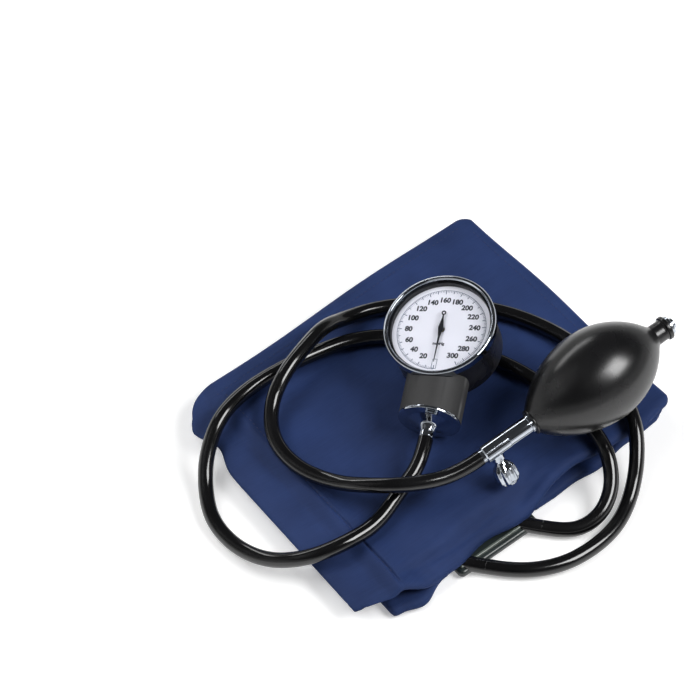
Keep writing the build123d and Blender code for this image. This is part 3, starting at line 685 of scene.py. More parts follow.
@dataclass(frozen=True)
class Clear(Finish):
    """Thin clear window: see-through but for its gloss."""

    gloss: float = 0.22
    metallic: ClassVar[float] = 1.0

    def paint(self, made: Shader) -> None:
        """Mixes a see-through shader and a gloss on the outer side by the angle of view.

        Args:
            made: the shader that it is added to.
        """
        through = made.node("BsdfTransparent", (*self.base, 1.0)).outputs["BSDF"]
        facing = made.node("NewGeometry").outputs["Backfacing"]
        outer = made.remap(facing, (0.0, 1.0), (self.gloss, 0.0))
        share = made.math("MULTIPLY", made.node("Fresnel", IOR=1.45).outputs["Fac"], outer)
        made.rough(made.noise(made.place(), 60.0), (0.4, 0.8), (0.01, 0.06))
        mixed = made.node("MixShader", share, through, made.main.outputs["BSDF"])
        made.surface(mixed.outputs["Shader"])


CLOTH = Weave("navy nylon", (0.0193, 0.0373, 0.118), 0.62).material()
THREAD = Printed("navy thread", (0.025, 0.034, 0.098), 0.7).material()
HOOKS = Pile("hook tape", (0.02, 0.026, 0.07), 0.9, 1400.0).material()
LOOPS = Pile("loop tape", (0.024, 0.032, 0.085), 0.9, 900.0).material()
BLACK_HOSE = Rubber("hose rubber", (0.004, 0.004, 0.0045), 0.13, 700.0, 0.003).material()
BLACK_BLADDER = Rubber("bladder rubber", (0.013, 0.02, 0.019), 0.32).material()
BLACK_BULB = Rubber("bulb rubber", (0.004, 0.004, 0.0045), 0.25, 1100.0, 0.006, 0.12).material()
# Pale rib rubber is a painted highlight: the light line along the bladder block's mouth, far paler
# than the block's own rubber.
RIB_PAINTED_HIGHLIGHT = Rubber("rib rubber painted highlight", (0.09, 0.11, 0.095), 0.3).material()
SOFT_FLAP = Rubber("flap rubber", (0.05, 0.05, 0.05), 0.6).material()
GREY_CAN = Lacquer("can lacquer", (0.028, 0.028, 0.029), 0.62, (0.1, 0.1, 0.1)).material()
BLACK_CASE = Lacquer("case lacquer", (0.006, 0.006, 0.008), 0.28, (0.03, 0.03, 0.035)).material()
CHROME = Plating("bright plating", (0.54, 0.58, 0.64), 0.05).material()
BRASS = Machined("movement brass", (0.72, 0.53, 0.25), 0.3, (0.45, 0.3, 0.14)).material()
STEEL = Machined("screw steel", (0.6, 0.6, 0.62), 0.3, (0.35, 0.34, 0.33)).material()
BRONZE = Machined("capsule bronze", (0.68, 0.46, 0.28), 0.34, (0.38, 0.24, 0.14)).material()
DIAL_WHITE = Printed("dial paint", (0.955, 0.912, 0.958), 0.42).material()
DIAL_INK = Printed("dial ink", (0.012, 0.012, 0.02), 0.45).material()
SCALE_INK = Printed("scale ink", (0.045, 0.07, 0.14), 0.45).material()
DARK_RING = Printed("ring black", (0.006, 0.006, 0.007), 0.5).material()
NEEDLE = Printed("pointer black", (0.008, 0.008, 0.01), 0.35).material()
WINDOW = Clear("clear window", (0.97, 0.985, 1.0), 0.03).material()


@dataclass(frozen=True)
class Hose:
    """Rubber tube on one smooth line through the source's route."""

    name: str
    node: str
    length: float
    route: tuple[Triple, ...]
    diameter: float = 7.0

    def build(self) -> None:
        curve = bpy.data.curves.new(self.name, "CURVE")
        assign(
            curve, dimensions="3D", resolution_u=12, bevel_depth=self.diameter / 2 * MM,
            bevel_resolution=8, use_fill_caps=True,
        )
        spline = curve.splines.new("NURBS")
        spline.points.add(len(self.route) - 1)
        points = np.array(self.route) * MM
        spline.points.foreach_set("co", np.column_stack((points, np.ones(len(points)))).ravel())
        assign(spline, order_u=3, use_endpoint_u=True)
        curve.materials.append(BLACK_HOSE)
        tube = add(self.name, curve)
        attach(tube, Body.BASE.value)
        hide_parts(self.node)
        LOG.info("%s: %d control points", self.name, len(self.route))


GAUGE_HOSE = Hose(
    "gauge_tube", "gauge_hose", 462.0,
    (
        (-21.1, -19.2, 28.5), (-31.0, -27.4, 26.4), (-45.0, -30.5, 22.0), (-63.0, -37.0, 19.8),
        (-83.0, -36.5, 21.4), (-97.5, -30.5, 17.5), (-107.5, -16.5, 8.0), (-113.0, 0.5, 3.8),
        (-113.0, 18.0, 3.6), (-106.0, 33.0, 4.4), (-97.0, 44.0, 12.0), (-84.0, 51.5, 21.2),
        (-66.0, 57.0, 20.2), (-46.0, 57.5, 19.7), (-26.0, 55.0, 19.7), (-7.5, 50.5, 19.7),
        (8.0, 41.0, 19.8), (22.0, 25.0, 19.6), (33.5, 8.0, 19.6), (41.5, -10.0, 19.6),
        (45.5, -30.0, 19.6), (46.5, -50.0, 20.0), (43.5, -69.0, 20.0), (37.5, -80.5, 12.8),
        (28.0, -87.0, 8.0), (17.5, -88.0, 4.8), (7.6, -83.8, 3.6), (0.7, -75.6, 3.6),
    ),
)
BULB_HOSE = Hose(
    "bulb_tube", "bulb_hose", 475.0,
    (
        (-11.5, -45.2, 34.2), (-24.7, -44.3, 31.6), (-42.5, -37.5, 32.6), (-57.0, -25.5, 31.0),
        (-65.5, -8.0, 21.2), (-72.5, 10.0, 19.6), (-71.5, 28.0, 20.4), (-62.0, 41.5, 24.0),
        (-49.0, 47.5, 31.4), (-32.5, 53.0, 32.6), (-18.5, 58.0, 30.4), (-4.0, 61.0, 22.0),
        (13.5, 58.0, 19.7), (32.0, 47.0, 19.7), (48.0, 33.0, 19.7), (61.0, 16.0, 19.7),
        (69.5, -3.5, 19.7), (73.0, -24.0, 19.7), (71.5, -45.0, 20.0), (64.5, -64.0, 21.8),
        (55.5, -77.5, 14.8), (44.0, -87.5, 5.4), (28.5, -95.5, 3.6), (11.0, -98.0, 3.6),
        (-7.0, -95.5, 3.6), (-24.0, -85.6, 3.6), (-32.3, -75.6, 3.6),
    ),
)


@dataclass(frozen=True)
class Gauge:
    """Dial gauge: bezel, window, printed dial, case, can and its bright cap."""

    radius: float = 26.0
    seat: float = 24.62
    opening: float = 23.9
    height: float = 5.0
    dial_level: float = -5.2
    rim_top: float = -2.45
    rim_radii: Pair = (23.0, 23.26)
    ink: float = 0.04
    tick_outer: float = 20.6
    tick_reach: float = 1.9
    tick_shares: Triple = (1.0, 0.8, 0.48)
    tick_halves: Pair = (0.17, 0.09)
    line_edges: Pair = (-0.02, 0.16)
    numeral_radius: float = 15.4
    numeral_size: float = 3.5
    unit_size: float = 2.0
    unit_at: Pair = (0.0, -7.4)
    scale_start: float = -90.0
    degrees_each: float = 1.1
    top_value: int = 300
    sweep: float = 330.0
    can_end: float = 41.0
    can_radius: float = 14.2
    nipple_end: float = 50.4
    bore_end: float = 57.0

    def bezel(self) -> None:
        """Bright ring with a narrow rolled front and a steep inner lip."""
        seat, inner, outer, back = self.seat, self.opening, self.radius, -self.height
        corners = (
            (seat, -1.1, 0.0), (inner, -1.1, 0.05), (inner, -0.7, 0.2), (inner + 0.55, 0.0, 0.5),
            (outer, 0.0, 1.1), (outer, back + 0.7, 0.3), (outer - 0.35, back, 0.2),
            (seat, back, 0.0),
        )
        look = Look(CHROME, Slot.PLATE, "bezel")
        turned("bezel_ring", DIAL, rounded(corners, 10), look, segments=192)

    def rim(self) -> None:
        """Dark ring under the window: a thin upright band on the dial's edge."""
        (near, far), low, high = self.rim_radii, self.dial_level + 0.01, self.rim_top
        corners = ((near, low, 0.0), (near, high, 0.08), (far, high, 0.08), (far, low, 0.0))
        look = Look(DARK_RING, Slot.RING, "dial_ring")
        turned("dial_rim", DIAL, rounded(corners, 4), look, segments=192)

    def turn_of(self, value: Array | int) -> Array:
        """Angle of a value: clockwise from six o'clock, in radians."""
        return np.radians(self.scale_start - value * self.degrees_each)

    def ticks(self) -> None:
        """Scale marks every two units, longer on tens and longest on twenties.

        Each mark is a thin bar at its angle, from the outer circle inwards.
        """
        value = np.arange(0, self.top_value + 1, 2)
        ten, twenty = value % 10 == 0, value % 20 == 0
        longest, long, short = self.tick_shares
        reach = np.where(twenty, longest, np.where(ten, long, short)) * self.tick_reach
        half = np.where(ten, *self.tick_halves)
        turn = self.turn_of(value)
        across = np.stack((-np.sin(turn), np.cos(turn)), axis=-1)
        outer = np.full(len(value), self.tick_outer)
        inner = outer - reach
        corners = [
            radius[:, None] * ray(turn) + side * half[:, None] * across
            for radius, side in ((inner, -1), (outer, -1), (outer, 1), (inner, 1))
        ]
        self.print_quads("dial_ticks", np.stack(corners, axis=1))

    def print_quads(self, name: str, quads: Array, thinner: float = 0.0) -> None:
        """Thin printed shapes on the dial, each four corners in its plane, as closed prisms.

        Args:
            name: name of the piece.
            quads: four corners of each shape, in the dial's plane.
            thinner: how much thinner than the other ink it is, in millimetres.
        """
        count, level = len(quads), self.dial_level + 0.005
        low = np.concatenate((quads, np.full((count, 4, 1), level)), axis=2)
        points = np.concatenate((low, low + np.array((0.0, 0.0, self.ink - thinner))), axis=1)
        sides = np.array(
            ((0, 3, 2, 1), (4, 5, 6, 7), (0, 1, 5, 4), (1, 2, 6, 5), (2, 3, 7, 6), (3, 0, 4, 7))
        )
        faces = (np.arange(count)[:, None, None] * 8 + sides[None]).reshape(-1, 4)
        make_piece(name, DIAL.out(points), faces, Look(SCALE_INK, Slot.DIAL))

    def scale_line(self) -> None:
        """Thin ring under the marks, drawn as short chords from zero round to the top value."""
        chords = 220
        rim = ray(np.radians(self.scale_start - np.linspace(0.0, self.sweep, chords + 1)))
        inner, outer = (rim * (self.tick_outer + edge) for edge in self.line_edges)
        quads = np.stack((inner[:-1], outer[:-1], outer[1:], inner[1:]), axis=1)
        self.print_quads("dial_scale_line", quads, 0.005)

    def zero_box(self) -> None:
        """Outline of the zero band at six o'clock: four bars round a small rectangle."""
        wide, near, far, line = 1.15, 15.6, 20.4, 0.2
        bars = (
            (-wide, -near, wide, -near + line), (-wide, -far, wide, -far + line),
            (-wide, -far, -wide + line, -near), (wide - line, -far, wide, -near),
        )
        quads = np.array([((a, b), (c, b), (c, d), (a, d)) for a, b, c, d in bars])
        self.print_quads("dial_zero_box", quads)

    def word(self, text: str, size: float, at: Pair) -> bpy.types.Mesh:
        """A word laid flat on the dial, upright to twelve o'clock.

        Args:
            text: the word.
            size: height of its letters in millimetres.
            at: its middle in the dial's plane.

        Returns:
            Its mesh, in the model's frame and in metres.
        """
        curve = bpy.data.curves.new("word", "FONT")
        assign(
            curve, body=text, size=size * MM, align_x="CENTER", align_y="CENTER",
            extrude=0.02 * MM, offset=0.042 * size * MM, resolution_u=4,
        )
        held = bpy.data.objects.new("word", curve)
        mesh = bpy.data.meshes.new_from_object(held)
        level = self.dial_level + 0.025
        shift = Matrix.Translation((at[0] * MM, at[1] * MM, level * MM))
        mesh.transform(DIAL.matrix() @ shift)
        bpy.data.objects.remove(held)
        return mesh

    def numerals(self) -> None:
        """Numbers every twenty units, upright, on a ring inside the marks, and the unit."""
        joined = bmesh.new()
        for value in range(20, self.top_value + 1, 20):
            at = self.numeral_radius * ray(self.turn_of(value))
            joined.from_mesh(self.word(str(value), self.numeral_size, at))
        joined.from_mesh(self.word("mmHg", self.unit_size, self.unit_at))
        mesh = bpy.data.meshes.new("dial_numerals")
        joined.to_mesh(mesh)
        joined.free()
        finish_mesh("dial_numerals", mesh, Look(DIAL_INK, Slot.DIAL, sharp=30.0))

    def cap(self) -> None:
        """Bright end cap: a rolled rim, a dished face and a trumpet neck into the hose."""
        end, rim, tip = self.can_end, self.can_radius, self.nipple_end
        corners = (
            (1.0, end - 2.5, 0.0), (13.05, end - 2.5, 0.2), (13.05, end, 0.05), (rim, end, 0.15),
            (rim + 0.1, end + 0.5, 0.3), (rim - 0.1, end + 1.2, 0.45), (12.4, end + 1.2, 0.4),
            (9.6, end + 1.35, 2.0), (4.4, end + 3.6, 2.4), (3.45, end + 6.2, 1.6),
            (3.5, tip - 0.5, 0.3), (3.3, tip, 0.1), (2.15, tip, 0.05),
            (2.15, self.bore_end, 0.2), (1.0, self.bore_end + 0.2, 0.0),
        )
        look = Look(CHROME, Slot.PLATE, "bottom_cap")
        turned("cap_bright", CAN, rounded(corners, 10), look, segments=144)

    def build(self) -> None:
        """Makes the gauge's pieces, with smooth copies of its case, can and clip."""
        self.bezel()
        self.rim()
        self.ticks()
        self.scale_line()
        self.zero_box()
        self.numerals()
        self.cap()
        smooth_copy(Look(BLACK_CASE, Slot.CASE, "gauge_case", sharp=30.0))
        smooth_copy(Look(GREY_CAN, Slot.CAN, "bellows_housing", sharp=30.0), 0.25)
        smooth_copy(Look(CHROME, Slot.PLATE, "hanger_clip", sharp=30.0), 0.15)


@dataclass(frozen=True)
class Valve:
    """Release valve and check valve in front of the bulb, with the fluted thumb screw."""

    knob_start: float = 6.0
    knob_end: float = 19.0
    knob_radius: float = 5.4
    bore: float = 1.56
    bore_depth: float = 9.9
    flutes: int = 8
    flute_depth: float = 0.85
    segments: int = 192

    def knob(self) -> None:
        """Thumb screw: a bell turned from a slim neck, fluted round its wide part.

        The profile's radius loses the flute depth times half of one plus the cosine of the
        angle times the number of flutes, raised to sharpen the ribs, where the bell is wide.
        """
        start, end, wide = self.knob_start, self.knob_end, self.knob_radius
        corners = (
            (self.bore, start, 0.0), (2.3, start, 0.2), (2.3, start + 0.9, 0.3),
            (2.9, start + 2.2, 1.2), (5.0, start + 4.6, 1.8), (wide, start + 7.0, 2.0),
            (wide, end - 2.2, 1.6), (4.3, end - 0.35, 1.0), (2.4, end, 1.0), (0.0, end, 0.0),
        )
        line = rounded(corners, 8)
        angle = circle(self.segments)[None, :]
        radius, height = line[:, 0:1], line[:, 1:2]
        body = smoothstep(height, start + 1.5, start + 5.0)
        tip = 1.0 - smoothstep(height, end - 1.6, end - 0.1)
        groove = ((1.0 + np.cos(self.flutes * angle)) / 2) ** 1.6
        cut = self.flute_depth * groove * body * tip * radius / wide
        floor = end - self.bore_depth
        hole = around(np.array(((0.0,), (self.bore,))), np.full((2, 1), floor), angle)
        points = np.concatenate((hole, around(radius - cut, height, angle)))
        faces = grid_faces(len(points), self.segments, False, True)
        look = Look(CHROME, Slot.PLATE, "release_knob", Body.KNOB, 50.0)
        make_piece("thumb_screw", RELEASE.out(points), faces, look)

    def build(self) -> None:
        """Makes the thumb screw and smooth copies of the valve's other nodes."""
        self.knob()
        smooth_copy(Look(CHROME, Slot.PLATE, "valve_body", sharp=30.0), 0.2)
        smooth_copy(Look(CHROME, Slot.PLATE, "check_housing", sharp=30.0), 0.15)
        smooth_copy(Look(STEEL, Slot.STEEL, "release_spindle", Body.STEM, 30.0))


@dataclass(frozen=True)
class Bulb:
    """Squeeze bulb with its necks and the bright inlet at its far end."""

    radius: float = 21.8
    fullest: float = 3.0
    front: float = 33.9
    back: float = 33.7
    neck_end: float = 43.2

    def barrel(self, end: float, length: float) -> Array:
        """Radius and distance from the bulb's fullest section to its end.

        The arc leaves the fullest section parallel to the axis; its radius is half the drop
        plus the length squared over twice the drop, and its sagitta is taken from the widest
        radius.

        Args:
            end: radius at the end.
            length: how far along the axis the end is.

        Returns:
            Radius and distance, one row a point.
        """
        drop, rings = self.radius - end, 28
        arc = drop / 2 + length**2 / (2 * drop)
        distance = np.linspace(0.0, length, rings)
        return np.stack((self.radius - (arc - np.sqrt(arc**2 - distance**2)), distance), axis=1)

    def skin(self) -> None:
        """The bulb's wall round its hollow.

        Two arcs meet at the fullest section, with a rolled lip in front and a beaded neck
        behind, closed over a bore and a hollow.
        """
        lip, neck, tip = -self.front, self.back, self.neck_end
        front = self.barrel(5.9, self.front + self.fullest - 1.0)
        rear = self.barrel(6.6, self.back - self.fullest)
        front[:, 1] = self.fullest - front[:, 1]
        rear[:, 1] = self.fullest + rear[:, 1]
        nose = (
            (5.9, lip + 1.0, 0.0), (6.1, lip + 0.8, 0.2), (6.1, lip + 0.1, 0.35),
            (5.4, lip, 0.3), (3.25, lip, 0.0),
        )
        tail = (
            (6.6, neck, 0.0), (4.9, neck + 1.6, 1.2), (4.8, tip - 3.4, 1.0),
            (4.95, tip - 2.3, 0.5), (5.7, tip - 2.0, 0.4), (5.8, tip - 0.2, 0.6),
            (4.9, tip, 0.3), (3.42, tip, 0.0),
        )
        inside = np.array(((3.42, 31.2), (19.3, 11.0), (19.3, -5.0), (3.25, -25.9)))
        line = np.concatenate(
            (front[::-1], rear[1:], rounded(tail, 5)[1:], inside, rounded(nose, 4)[::-1][:-1])
        )
        turned("bulb_skin", BULB, line, Look(BLACK_BULB, Slot.BULB, "bulb"), segments=160)

    def inlet(self) -> None:
        """Bright inlet plug: a flange on the neck's end and a shorter drilled boss."""
        end = self.neck_end
        corners = (
            (1.1, end - 10.0, 0.0), (3.4, end - 10.0, 0.2), (3.4, end, 0.05), (4.6, end, 0.3),
            (4.6, end + 1.6, 0.5), (2.7, end + 1.6, 0.25), (2.6, end + 3.4, 0.5),
            (1.1, end + 3.4, 0.15), (1.1, end - 2.0, 0.0),
        )
        look = Look(CHROME, Slot.PLATE, "inlet_body")
        turned("inlet_plug", BULB, rounded(corners), look, segments=96)

    def build(self) -> None:
        """Makes the bulb and its inlet."""
        self.skin()
        self.inlet()


@dataclass(frozen=True)
class Cuff:
    """Quilted nylon cuff folded in three, as one strip carried back and forth.

    The strip runs from the lower free end over the right-hand turn, back through the middle
    layer, over the left-hand fold and out to the upper free end. Each pair of points below is
    the front and the back end of one such line, in plan. Layers count 0, 1 and 2 upwards. A
    span gives the places along x where something starts, is full, begins to fade and is gone.
    """

    lower_free: tuple[Pair, ...] = ((-80.6, -70.6), (-79.0, 69.0))
    turn: tuple[Pair, ...] = ((86.0, -64.5), (84.0, 77.0))
    fold: tuple[Pair, ...] = ((-88.9, -61.2), (-88.4, 73.5))
    upper_free: tuple[Pair, ...] = ((88.6, -66.5), (88.2, 81.5))
    thickness: float = 5.0
    pitch: float = 5.4
    edge: float = 3.4
    notch: Span = (-47.5, -45.0, 3.0, 5.5)
    notch_depth: float = 19.0
    middle: Span = (-87.0, -78.0, 60.0, 84.0)
    middle_depth: float = 13.0
    hang: Span = (-74.0, -58.0, -4.0, 18.0)
    drape: float = 6.4
    drape_out: float = 5.4
    shoulder_out: float = 5.6
    bulge_out: float = 2.6
    right: Span = (20.0, 40.0, 60.0, 80.0)
    right_out: float = 1.2
    seam_x: float = -71.3
    seam_share: float = 0.012
    seam_depth: float = 0.95
    quilt_depth: float = 0.12
    press_depth: float = 0.35
    highest: float = 1.3
    rows: int = 92
    columns: int = 150
    arc: int = 17

    def path(self, corner: int) -> tuple[Array, Array, Array]:
        """Centre line of the strip along one edge.

        Straight runs are divided evenly, and finely at the seam. At a turn the line goes round
        half a circle whose radius is half the layers' pitch, and the normal is the circle's own.

        Args:
            corner: 0 for the front edge, 1 for the back one.

        Returns:
            Points, unit normals of the side that faces down at the lower free end, and the
            layer number of each point, fractional on the turns.
        """
        reach, low = self.pitch / 2, self.thickness / 2
        ends = (self.lower_free, self.turn, self.fold, self.upper_free)
        stops = [np.array(pair[corner]) for pair in ends]
        points, normals, layers = [], [], []
        for layer, (start, end) in enumerate(zip(stops, stops[1:])):
            share = np.linspace(0.0, 1.0, self.columns)
            if layer == 2:
                seam = (self.seam_x - start[0]) / (end[0] - start[0])
                fine = np.linspace(-self.seam_share, self.seam_share, self.arc)
                share = np.sort(np.append(share, seam + fine))
            share = share[:, None]
            level = np.full((len(share), 1), low + layer * self.pitch)
            points.append(np.hstack((start + (end - start) * share, level)))
            normals.append(np.tile((0.0, 0.0, -1.0 if layer % 2 == 0 else 1.0), (len(share), 1)))
            layers.append(np.full(len(share), float(layer)))
            if layer == 2:
                break
            side = 1.0 if layer == 0 else -1.0
            angle = np.linspace(-90.0, 90.0, self.arc)[1:-1]
            turn = np.radians(angle)
            out = np.stack((side * np.cos(turn), 0 * turn, np.sin(turn)), axis=1)
            centre = np.array((end[0], end[1], low + layer * self.pitch + reach))
            points.append(centre + out * reach)
            normals.append(out * side)
            layers.append(layer + (angle + 90.0) / 180.0)
        return np.concatenate(points), np.concatenate(normals), np.concatenate(layers)

    def press(self, x: Array, z: Array, layer: Array) -> Array:
        """Heights with the hem beyond the seam squeezed flat and sagging to its edge.

        Args:
            x: place of each point along the cuff.
            z: its height.
            layer: its layer number.

        Returns:
            The new heights.
        """
        hem = smoothstep(-x, 72.5, 80.0) * smoothstep(layer, 0.9, 1.2)
        middle = 2 * self.pitch - 2.2 * smoothstep(-x, 78.0, 94.0)
        return z + hem * (middle + 0.3 * (z - 2 * self.pitch) - z)

    def wrinkles(self, x: Array, y: Array) -> Array:
        """Height of soft creases on the upper layer.

        Each crease is a ridge along a line, given by the line's two ends, its width and its
        rise: a bell of the distance from the line, faded at both ends. The sum is added to
        slow waves made of a few sines.

        Args:
            x: place of each point along the cuff.
            y: its place across the cuff.

        Returns:
            The height of each point in millimetres.
        """
        creases = (
            (-92.0, -58.0, -62.0, -47.0, 7.0, 0.7), (-86.0, -62.0, -76.0, -30.0, 5.0, -0.5),
            (-68.0, -62.0, -8.0, -60.5, 1.5, -1.7), (-66.0, -57.5, -18.0, -56.0, 2.6, 1.0),
            (-60.0, -66.0, -12.0, -66.5, 1.3, -2.2), (-6.8, -63.5, 16.0, -61.5, 1.8, -1.3),
            (-20.0, -56.0, 26.0, -50.0, 5.0, 0.8), (-2.0, -58.0, 30.0, -46.0, 3.0, -0.7),
            (10.0, -62.0, 42.0, -60.0, 5.0, 0.9), (14.0, -44.0, 40.0, -62.0, 3.2, -0.6),
            (-78.0, 66.0, -60.0, 30.0, 8.0, 0.9), (-90.0, 58.0, -72.0, 66.0, 4.0, -0.7),
            (-62.0, 70.0, -30.0, 60.0, 7.0, 0.7), (-20.0, 74.0, 50.0, 73.0, 6.0, 0.5),
            (60.0, 60.0, 80.0, 20.0, 9.0, 0.5), (70.0, 74.0, 84.0, 60.0, 5.0, 0.5),
            (-85.0, 20.0, -84.0, -22.0, 5.0, 0.5), (-50.0, 30.0, -30.0, -20.0, 12.0, -0.4),
        )
        height = 0.20 * np.sin(x * 0.061 + 0.8 * np.sin(y * 0.045)) * np.cos(y * 0.052 + 0.6)
        height = height + 0.10 * np.sin(x * 0.13 + y * 0.09 + 1.3 * np.sin(x * 0.03))
        for x1, y1, x2, y2, width, rise in creases:
            length = math.hypot(x2 - x1, y2 - y1)
            along = ((x - x1) * (x2 - x1) + (y - y1) * (y2 - y1)) / length
            off = ((x - x1) * (y2 - y1) - (y - y1) * (x2 - x1)) / length
            bend = off + 1.4 * np.sin(along * 0.11 + x1)
            ends = band(along, (-8.0, 12.0, length - 12.0, length + 8.0))
            height = height + rise * bell(bend, width) * ends
        return height

    def hose_distance(self, x: Array, y: Array) -> Array:
        """Distance in plan from the hoses' high runs and from the gauge that leans on the cloth.

        It is the least of the distances to the gauge's round edge and to each straight run
        between two of a hose's points.

        Args:
            x: place of each point along the cuff.
            y: its place across the cuff.

        Returns:
            The distance of each point in millimetres.
        """
        centre, radius, on_cloth = 8.0, 27.0, 12.0
        nearest = np.hypot(x - centre, y - centre) - radius
        for hose in (GAUGE_HOSE, BULB_HOSE):
            route = np.array(hose.route)
            for begin, end in zip(route, route[1:]):
                if min(begin[2], end[2]) < on_cloth:
                    continue
                run = (end - begin)[:2]
                share = ((x - begin[0]) * run[0] + (y - begin[1]) * run[1]) / (run @ run)
                share = np.clip(share, 0.0, 1.0)
                gap = np.hypot(x - begin[0] - share * run[0], y - begin[1] - share * run[1])
                nearest = np.minimum(nearest, gap)
        return nearest

    def lift(self, x: Array, y: Array) -> Array:
        """Rise of the top skin: creases, held down at the seam and where something lies on it.

        Args:
            x: place of each point along the cuff.
            y: its place across the cuff.

        Returns:
            The rise of each point in millimetres.
        """
        near = self.hose_distance(x, y)
        rise = self.wrinkles(x, y)
        rise = np.where(rise > 0.0, rise * smoothstep(near, 3.0, 13.0), rise)
        seam = self.seam_depth * bell(x - self.seam_x, 0.5) * fade(y, -40.0, 15.0)
        swell = 0.35 * bell(x - self.seam_x - 4.0, 3.5) * fade(y, 0.0, 40.0)
        swell = swell * smoothstep(near, 3.0, 9.0)
        pressed = self.press_depth * fade(near, 1.0, 10.0)
        return np.minimum(rise + swell, self.highest) - seam - pressed

    def corner_pull(self, layer: Array, x: Array, side: int) -> Array:
        """How far an edge draws in towards a rounded corner.

        At a distance a from the end of a layer it is the radius, less the root of the radius
        squared less the square of the radius less a.

        Args:
            layer: layer number of each point.
            x: place of each point along the cuff.
            side: 0 for the front edge, 1 for the back one.

        Returns:
            The pull of each point in millimetres.
        """
        reach = self.pitch / 2
        ends = (
            (layer < 0.5, x < 0, x - self.lower_free[side][0], (3.0, 6.0)),
            (layer >= 0.5, x < 0, x - self.fold[side][0] + reach, (0.6, 16.0)),
            (layer <= 1.5, x >= 0, self.turn[side][0] + reach - x, (9.0, 9.0)),
            (layer > 1.5, x >= 0, self.upper_free[side][0] - x, (6.0, 8.5)),
        )
        pull = np.zeros_like(x)
        for here, half, away, radii in ends:
            radius = radii[side]
            inside = np.clip(radius - away, 0.0, radius)
            pull = np.where(here & half, radius - np.sqrt(radius**2 - inside**2), pull)
        return pull

    def strip(self) -> tuple[Array, Array, Array, Array, Array, Array]:
        """The strip with straight edges, as a grid of points from its front to its back edge.

        Returns:
            Centre, normal and layer of each point, and its distances from the front edge, from
            the back edge and from the nearer end of the strip.
        """
        front, normal, layer = self.path(0)
        back, _, _ = self.path(1)
        even = np.linspace(0.0, 1.0, self.rows)
        share = (0.6 * even + 0.4 * (1 - np.cos(math.pi * even)) / 2)[None, :, None]
        centre = front[:, None] * (1 - share) + back[:, None] * share
        normal = np.broadcast_to(normal[:, None], centre.shape)
        layer = np.broadcast_to(layer[:, None], centre.shape[:2])
        run = np.concatenate(((0.0,), np.cumsum(np.linalg.norm(np.diff(front, axis=0), axis=1))))
        width = (back[:, 1] - front[:, 1])[:, None]
        from_front = share[..., 0] * width
        from_ends = np.minimum(run, run[-1] - run)[:, None]
        return centre, normal, layer, from_front, width - from_front, from_ends

    def shape(self) -> tuple[Array, Array, Array, Array]:
        """The strip with its edges drawn in, let out and let down as the cloth lies.

        Every move is a depth times the bands and fades that say where it works: the rounded
        corners, the notch that the hoses leave by, the middle layer that stands back, slow
        waves of both edges, and the upper layer's front that hangs over the ones below.

        Returns:
            Centre, normal, layer and distance to the nearest edge of each point.
        """
        centre, normal, layer, from_front, from_back, from_ends = self.strip()
        inset = np.minimum(np.minimum(from_front, from_back), from_ends)
        x, y, z = (centre[..., axis].copy() for axis in range(3))
        near_front, near_back = fade(from_front, 0.0, 26.0), fade(from_back, 0.0, 36.0)
        lower, top = fade(layer, 0.02, 0.1), smoothstep(layer, 1.85, 2.0)
        front_pull, back_pull = (self.corner_pull(layer, x, side) for side in (0, 1))
        y = y + front_pull * near_front - back_pull * near_back
        notch = band(x, self.notch) * lower
        middle = band(layer, (0.9, 1.0, 1.0, 1.1)) * band(x, self.middle)
        wave = 0.9 * np.sin(x * 0.11 + layer * 2.0) + 0.5 * np.sin(x * 0.23 + 1.0)
        to_back = 1 - from_front / (from_front + from_back)
        y = y + (self.notch_depth * notch + self.middle_depth * middle) * to_back
        y = y + wave * near_front * (1 - notch) * smoothstep(x, -78.0, -66.0)
        y = y + 0.7 * np.sin(x * 0.05 + 0.5) * near_back
        x = x + 0.6 * np.sin(y * 0.07) * fade(from_ends, 0.0, 30.0)
        upper = smoothstep(layer, 0.9, 1.2)
        x = x + 4.5 * (bell(y - 45.0, 9.0) * smoothstep(-x, 70.0, 90.0) * upper)
        hang = band(x, self.hang) * top
        shoulder = np.clip((x + 92.0) / 15.0, 0.0, 1.0) * fade(x, -56.0, -30.0) * top
        y = y - self.shoulder_out * shoulder * (1 - 0.6 * hang) * near_front
        y = y - self.bulge_out * (bell(x + 64.5, 8.0) * lower) * near_front
        fall = fade(from_front, 0.0, 17.0) ** 1.3
        z = z - self.drape * hang * fall
        y = y - self.drape_out * hang * fall
        y = y - self.right_out * (band(x, self.right) * top) * near_front
        return np.stack((x, y, z), axis=-1), normal, layer, inset

    def cloth(self) -> None:
        """Makes the cuff's skin as two sheets of one grid that meet round the edge.

        Each skin stands off the centre by half the thickness, times the root of one less the
        square of one less the distance to the edge over the edge's width.
        """
        centre, normal, layer, inset = self.shape()
        hem = smoothstep(-centre[..., 0], 76.0, 86.0) * smoothstep(layer, 0.9, 1.2)
        edge = self.edge * (1 - 0.75 * hem)
        rim = np.clip(1 - (1 - np.clip(inset / edge, 0, 1)) ** 2, 0, 1)
        half = self.thickness / 2 * np.sqrt(rim) - self.quilt_depth * bell(inset - 6.0, 0.9)
        top = smoothstep(layer, 1.9, 2.0)
        rise = self.lift(centre[..., 0], centre[..., 1]) * smoothstep(inset, 0.5, 7.0) * top
        outer = centre + normal * half[..., None]
        inner = centre - normal * (half + rise)[..., None]
        for skin in (outer, inner):
            skin[..., 2] = self.press(skin[..., 0], skin[..., 2], layer)
        faces = grid_faces(*half.shape, False, False)
        points = np.concatenate((outer.reshape(-1, 3), inner.reshape(-1, 3)))
        both = np.concatenate((faces, faces[:, ::-1] + half.size))
        piece = make_piece("cuff_cloth", points, both, Look(CLOTH, Slot.CLOTH, "cuff", sharp=80.0))
        self.unwrap(piece.data)

